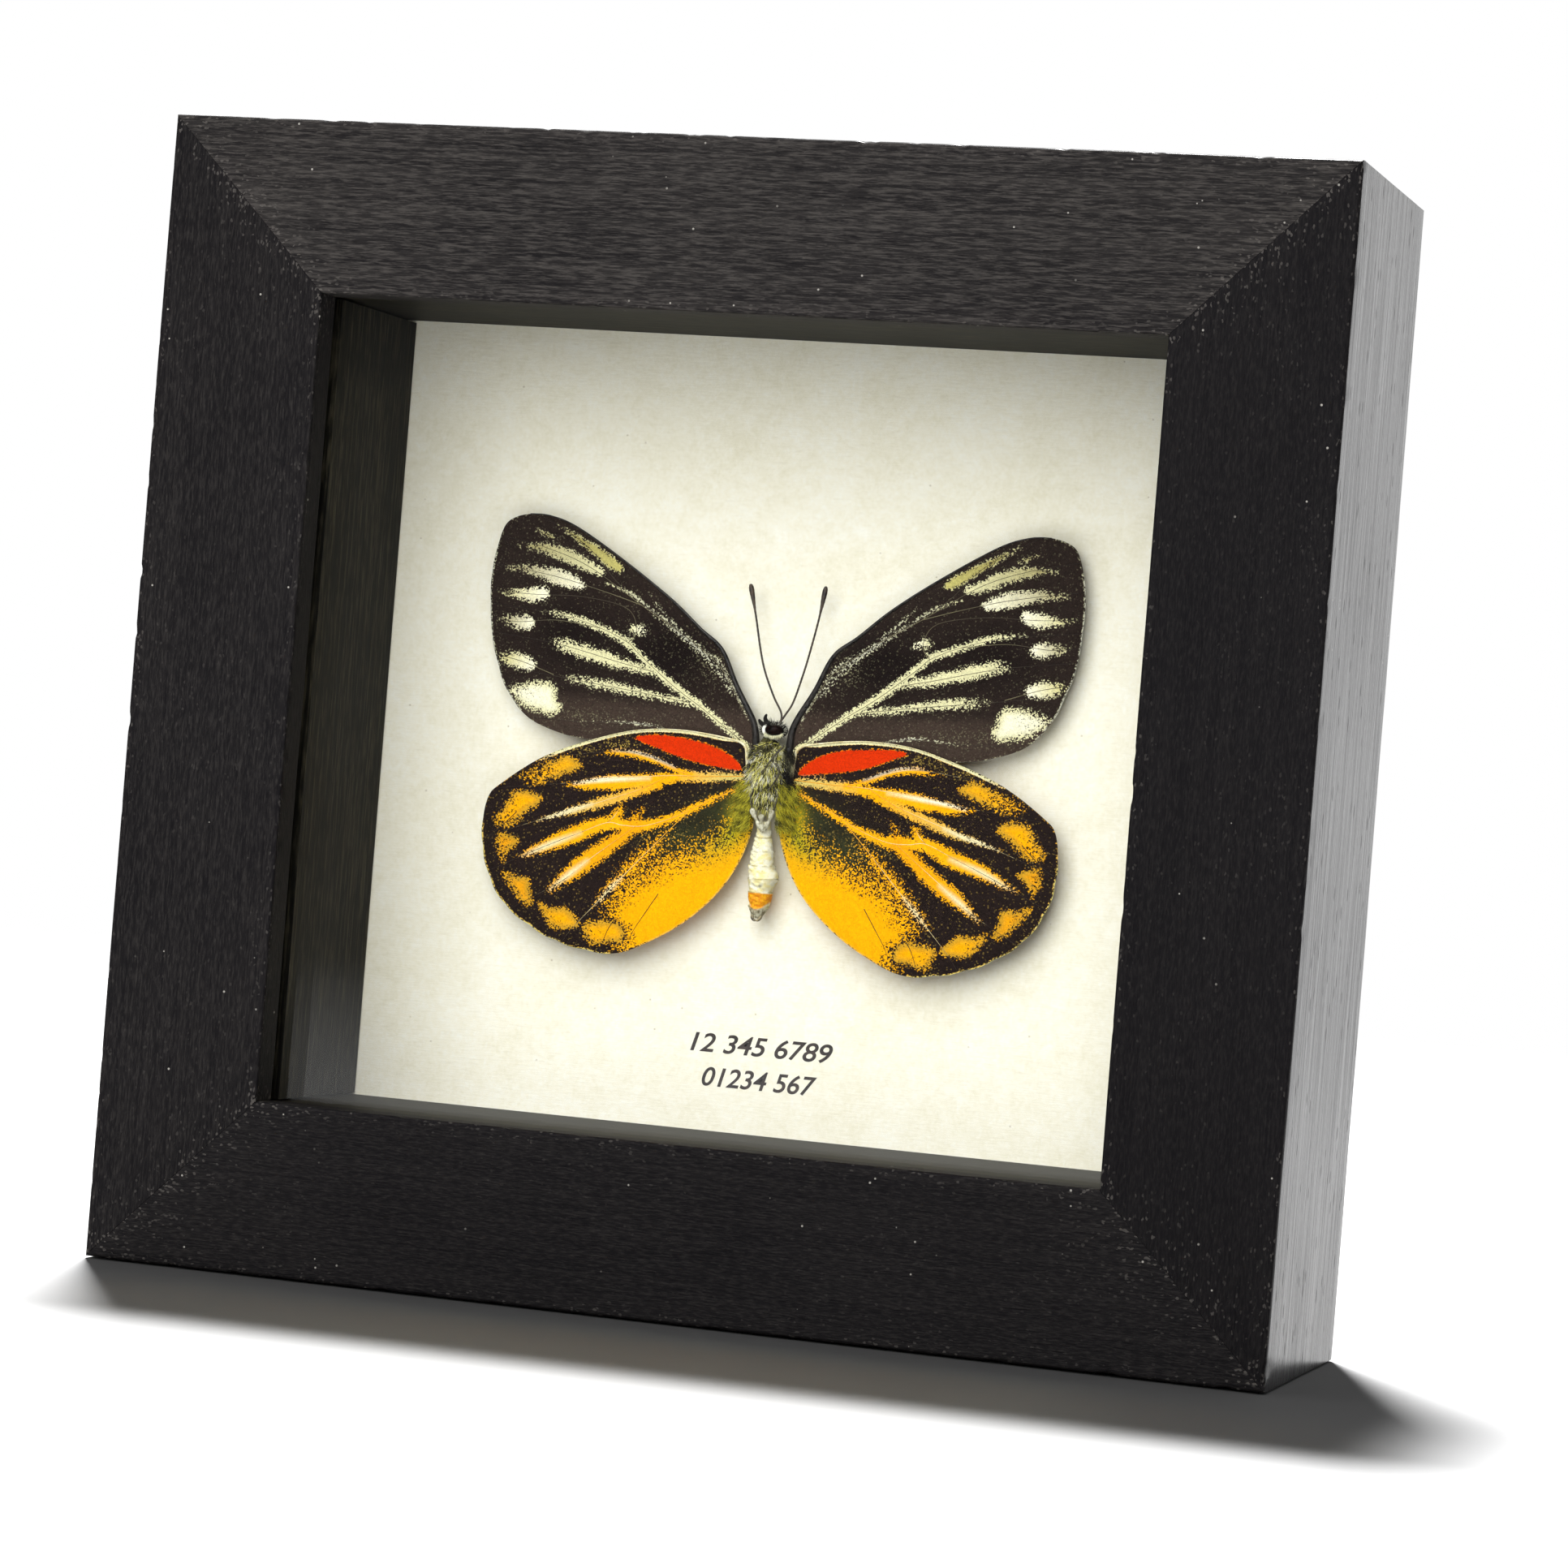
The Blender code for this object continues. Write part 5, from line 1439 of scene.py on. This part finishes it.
def spacerFinish(side):
    # dark stain over a fine grain that runs along the strip
    finish = Finish("darkStainedWood_" + side, {"Specular IOR Level": 0.07})
    grain = finish.noise(alongGrain(side, 14.0, 0.4), 4.0, 0.62, (2, 5, 1))
    fine = finish.noise(alongGrain(side, 3.0, 0.4), 2.0, 0.6, (7, 5, 1))
    stops = ((0.38, paint(8, 7, 6)), (0.5, paint(24, 22, 17)), (0.63, paint(62, 57, 45)))
    colour = finish.ramp(grain * 0.6 + fine * 0.4, stops)
    height = grain + fine * 0.5
    finish.drive(Base_Color=colour, Roughness=0.5 + grain * 0.2, Normal=finish.bump(height, 0.03))
    return finish


def paperFinish():
    # off-white sheet with faint clouds, short fibres that lie both ways, and a few specks
    finish = Finish("parchmentPaper", {"Specular IOR Level": 0.15})
    cloud = finish.noise((8, 8, 8), 5.0, 0.6)
    blot = finish.noise((1.6, 1.6, 1.6), 4.0, 0.7, (4, 4, 4))
    speckle = finish.noise((0.4, 0.4, 0.4), 3.0, 0.7, (6, 4, 4))
    fibre = finish.noise((1.8, 1.8, 0.22), 3.0, 0.6, (1, 1, 1), (0, 0.6, 0))
    crossing = finish.noise((0.24, 1.8, 1.6), 3.0, 0.6, (8, 3, 1), (0, 0.5, 0))
    specks = (0.032 - finish.cells((3.4, 3.4, 3.4), "Distance", shift=(2, 2, 2))).over(0.0, 0.012)
    stops = ((0.34, paint(240, 233, 208)), (0.5, paint(250, 244, 225)), (0.66, paint(255, 252, 240)))
    colour = finish.ramp(cloud * 0.3 + blot * 0.35 + speckle * 0.35, stops)
    colour = finish.blend(fibre.over(0.66, 0.12) * 0.3, colour, paint(226, 218, 194))
    colour = finish.blend(crossing.over(0.67, 0.12) * 0.25, colour, paint(255, 255, 250))
    colour = finish.blend(specks * 0.5, colour, paint(158, 138, 106))
    rough = 0.8 + blot * 0.15
    finish.drive(Base_Color=colour, Roughness=rough, Normal=finish.bump(fibre + blot, 0.05, 0.6))
    return finish


def glassFinish():
    # clear glass: mostly see-through, with the mirror part rising at a glancing angle
    finish = Finish("clearGlass", {})
    smear = finish.noise((30, 30, 30), 3.0, 0.5)
    mirror = finish.node("ShaderNodeBsdfAnisotropic", None, {"Color": (1, 1, 1, 1), "Roughness": 0.03})
    through = finish.node("ShaderNodeBsdfTransparent", None, {"Color": (0.985, 0.992, 0.988, 1)})
    facing = finish.node("ShaderNodeLayerWeight", None, {"Blend": 0.5}, "Facing")
    share = (facing**5 * 0.9 + 0.02) * (0.8 + smear * 0.4)
    mixed = finish.node("ShaderNodeMixShader", None, {0: share, 1: through, 2: mirror})
    finish.tree.links.new(mixed.socket, finish.output.inputs["Surface"])
    return finish


def boardFinish():
    # brown pressed fibre with flecks, and the regular dimples of its press
    finish = Finish("brownHardboard", {"Specular IOR Level": 0.3})
    fleck = finish.noise((1.4, 1.4, 0.5), 4.0, 0.7)
    cloud = finish.noise((20, 20, 20), 3.0, 0.5)
    weave = finish.cells((1.2, 1.2, 1.2), "Distance", randomness=0.25)
    stops = ((0.35, paint(74, 50, 32)), (0.5, paint(102, 72, 46)), (0.65, paint(128, 94, 62)))
    colour = finish.ramp(fleck * 0.7 + cloud * 0.3, stops)
    finish.drive(Base_Color=colour, Roughness=0.65 + fleck * 0.2, Normal=finish.bump(weave, 0.15, 0.7))
    return finish


def foamFinish():
    # white foam whose fine bubbles show as pits
    finish = Finish("whiteFoamBoard", {"Specular IOR Level": 0.25})
    bubbles = finish.cells((0.5, 0.5, 0.5), "Distance")
    colour = finish.blend(bubbles, paint(226, 226, 222), paint(244, 244, 240))
    finish.drive(Base_Color=colour, Roughness=0.7 + bubbles * 0.2, Normal=finish.bump(bubbles, 0.1))
    return finish


def metalFinish(name, light, dark, metallic, roughness):
    # two tones of tarnish, and long fine scratches
    finish = Finish(name, {"Metallic": metallic})
    tarnish = finish.noise((3, 3, 3), 4.0, 0.6)
    scratch = finish.noise((0.1, 6, 3), 2.0, 0.6)
    colour = finish.blend(tarnish.over(0.52, 0.3), light, dark)
    rough = roughness + tarnish * 0.2 + scratch * 0.08
    finish.drive(Base_Color=colour, Roughness=rough, Normal=finish.bump(scratch, 0.02))
    return finish


def finishFrame():
    # the nodes that keep their own meshes, and their finishes
    steel = metalFinish("zincSteel", paint(188, 190, 192), paint(140, 142, 144), 1.0, 0.25)
    brass = metalFinish("brassPlate", paint(206, 170, 96), paint(150, 112, 52), 1.0, 0.2)
    single = {
        "glass_pane": glassFinish(),
        "backing_paper": paperFinish(),
        "foam_board": foamFinish(),
        "back_board": boardFinish(),
        "hanger": brass,
        "hanger_nail_left": brass,
        "hanger_nail_right": brass,
    }
    for side in ("top", "bottom", "left", "right"):
        single["spacer_" + side] = spacerFinish(side)
        single[f"glazier_point_{side}_1"] = steel
        single[f"glazier_point_{side}_2"] = steel
    for name, finish in single.items():
        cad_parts[name].material_slots[0].material = finish.material
    print("frame finished")


# Each line is (text, right, up, width) in mm. The rest are the height, slant, boldness and
# thickness of the ink, and how far off the paper it starts.
label = {
    "lines": (("12 345 6789", 0.65, 30.0, 17.6), ("01234 567", 0.7, 26.0, 14.2)),
    "height": 2.3,
    "slant": 0.25,
    "bolder": 0.012,
    "thickness": 0.02,
    "gap": 0.004,
}


def inkFinish():
    ink = Finish("brownBlackInk", {"Specular IOR Level": 0.3})
    pool = ink.noise((0.7, 0.7, 0.7), 3.0, 0.6)
    colour = ink.blend(pool.over(0.5, 0.4), paint(30, 24, 26), paint(66, 54, 50))
    ink.drive(Base_Color=colour, Roughness=0.5 + pool * 0.2)
    return ink


def lineMesh(text):
    # the outlines of a line of text, filled and given a thickness
    curve = bpy.data.curves.new("labelText", "FONT")
    curve.body = text
    curve.align_x = "CENTER"
    curve.shear = label["slant"]
    curve.extrude = 0.5
    curve.offset = label["bolder"]
    writing = bpy.data.objects.new("labelText", curve)
    bpy.context.scene.collection.objects.link(writing)
    bpy.context.view_layer.update()
    ready = writing.evaluated_get(bpy.context.evaluated_depsgraph_get())
    mesh = bpy.data.meshes.new_from_object(ready)
    bpy.data.objects.remove(writing)
    return mesh


def buildLabel():
    # each line's mesh is stretched from its own box to its place and size on the paper
    ink = inkFinish()
    for number, (text, x, z, width) in enumerate(label["lines"], 1):
        mesh = lineMesh(text)
        points = np.empty(len(mesh.vertices) * 3)
        mesh.vertices.foreach_get("co", points)
        points = points.reshape(-1, 3)
        low, high = points.min(axis=0), points.max(axis=0)
        shares = (points - (low + high) / 2) / (high - low)
        rise = (label["thickness"] / 2 + shares[:, 2] * label["thickness"]) * mm
        moved = np.stack((
            x * mm + shares[:, 0] * width * mm,
            paperFront - rise - label["gap"] * mm,
            z * mm + shares[:, 1] * label["height"] * mm,
        ), -1)
        mesh.vertices.foreach_set("co", moved.ravel())
        mesh.update()
        mesh.materials.clear()
        mesh.materials.append(ink.material)
        piece = bpy.data.objects.new(f"label_numerals_{number}", mesh)
        bpy.context.scene.collection.objects.link(piece)
        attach(piece, "root")
    print("label written")


# Places in metres. The floor fades out between two distances from the middle.
studio = {
    "lens": 109.2,
    "eye": (0.1659, -0.52705, 0.0611),
    "forward": (-0.2937, 0.9559, 0.0003),
    "up": (-0.0769, -0.0239, 0.9968),
    "floorDrop": 0.0002,
    "floorRings": 24,
    "floorSpokes": 48,
    "floorFadeStart": 0.35,
    "floorFadeEnd": 0.9,
    "skyLight": 0.08,
}

# Each light: place, what it points at, size, brightness seen in a mirror, and what it lights:
# the frame without its glass, or the floor alone
lights = {
    "keySoftbox": ((-0.1, -0.95, 0.74), (0, 0, 0.07), (1.1, 1.5), 4.9, "frame"),
    "overheadSoftbox": ((-0.27, 0.78, 1.95), (-0.27, 0, 0.0), (0.14, 0.6), 300.0, "frame"),
    "sideCard": ((0.36, 1.3, 0.2), (0.07, 0, 0.07), (1.2, 0.9), 1.5, "frame"),
    "rearFill": ((-0.85, 1.2, 0.7), (0, 0, 0.07), (0.7, 0.7), 5.0, "frame"),
    "floorWash": ((-0.3, 0.68, 1.95), (0, 0, 0), (0.3, 0.3), 320.0, "floor"),
}


def buildFloor():
    # a round floor of rings and spokes, which is clear at its rim
    rows, columns = studio["floorRings"], studio["floorSpokes"]
    radius = np.linspace(0, studio["floorFadeEnd"], rows)[:, None]
    turn = 2 * np.pi * np.arange(columns)[None] / columns
    points = np.stack((radius * np.cos(turn), radius * np.sin(turn), 0 * radius * turn), -1)
    points = points.reshape(-1, 3) - np.array((0, 0, studio["floorDrop"]))
    quads = np.arange((rows - 1) * columns).reshape(rows - 1, columns)
    following = (quads + 1) - columns * ((quads % columns) == columns - 1)
    faces = np.stack((quads, quads + columns, following + columns, following), -1).reshape(-1, 4)
    mesh = bpy.data.meshes.new("studioFloor")
    mesh.from_pydata(points.tolist(), [], faces.tolist())
    floor = bpy.data.objects.new("studio_floor", mesh)
    bpy.context.scene.collection.objects.link(floor)
    looks = {"Base Color": (0.9, 0.9, 0.9, 1), "Roughness": 0.6, "Specular IOR Level": 0.2}
    finish = Finish("paleFloor", looks)
    spot = finish.node("ShaderNodeTexCoord", output="Object")
    away = finish.node("ShaderNodeVectorMath", {"operation": "LENGTH"}, {0: spot}, "Value")
    middle = (studio["floorFadeStart"] + studio["floorFadeEnd"]) / 2
    fade = away.over(middle, studio["floorFadeEnd"] - studio["floorFadeStart"])
    finish.drive(Alpha=1 - fade)
    mesh.materials.append(finish.material)
    return floor


def buildSky():
    # plain white where the camera sees it, and a faint light everywhere else
    world = bpy.data.worlds.new("studioSky")
    bpy.context.scene.world = world
    world.use_nodes = True
    tree = world.node_tree
    sky = tree.nodes["Background"]
    sky.inputs["Color"].default_value = (1, 1, 1, 1)
    sky.inputs["Strength"].default_value = studio["skyLight"]
    seen = tree.nodes.new("ShaderNodeBackground")
    seen.inputs["Color"].default_value = (1, 1, 1, 1)
    path = tree.nodes.new("ShaderNodeLightPath")
    mixed = tree.nodes.new("ShaderNodeMixShader")
    tree.links.new(path.outputs["Is Camera Ray"], mixed.inputs[0])
    tree.links.new(sky.outputs[0], mixed.inputs[1])
    tree.links.new(seen.outputs[0], mixed.inputs[2])
    tree.links.new(mixed.outputs[0], tree.nodes["World Output"].inputs["Surface"])


def buildLights(floor):
    linked = {
        "frame": ("EXCLUDE", (floor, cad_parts["glass_pane"])),
        "floor": ("INCLUDE", (floor,)),
    }
    reached = {}
    for kind, (state, things) in linked.items():
        reached[kind] = bpy.data.collections.new(kind + "Lighting")
        for number, thing in enumerate(things):
            reached[kind].objects.link(thing)
            reached[kind].collection_objects[number].light_linking.link_state = state
    for name, (place, target, extent, brightness, kind) in lights.items():
        lamp = bpy.data.lights.new(name, "AREA")
        lamp.shape = "RECTANGLE"
        lamp.size, lamp.size_y = extent
        lamp.energy = brightness * math.pi * extent[0] * extent[1]
        made = bpy.data.objects.new(name, lamp)
        made.light_linking.receiver_collection = reached[kind]
        made.location = place
        made.rotation_euler = (Vector(target) - Vector(place)).to_track_quat("-Z", "Y").to_euler()
        bpy.context.scene.collection.objects.link(made)


def buildCamera():
    camera = bpy.data.cameras.new("studioCamera")
    camera.lens = studio["lens"]
    camera.sensor_width = 36.0
    camera.clip_start = 0.01
    seat = bpy.data.objects.new("studioCamera", camera)
    forward = Vector(studio["forward"]).normalized()
    right = forward.cross(Vector(studio["up"])).normalized()
    upward = right.cross(forward)
    turn = Matrix((right, upward, -forward)).transposed()
    seat.matrix_world = Matrix.Translation(studio["eye"]) @ turn.to_4x4()
    bpy.context.scene.collection.objects.link(seat)
    bpy.context.scene.camera = seat
    bpy.context.scene.view_settings.view_transform = "Standard"


def buildStudio():
    floor = buildFloor()
    buildSky()
    buildLights(floor)
    buildCamera()
    print("studio lit")


buildWings()
buildBody()
buildRails()
finishFrame()
buildLabel()
buildStudio()

print("all set")
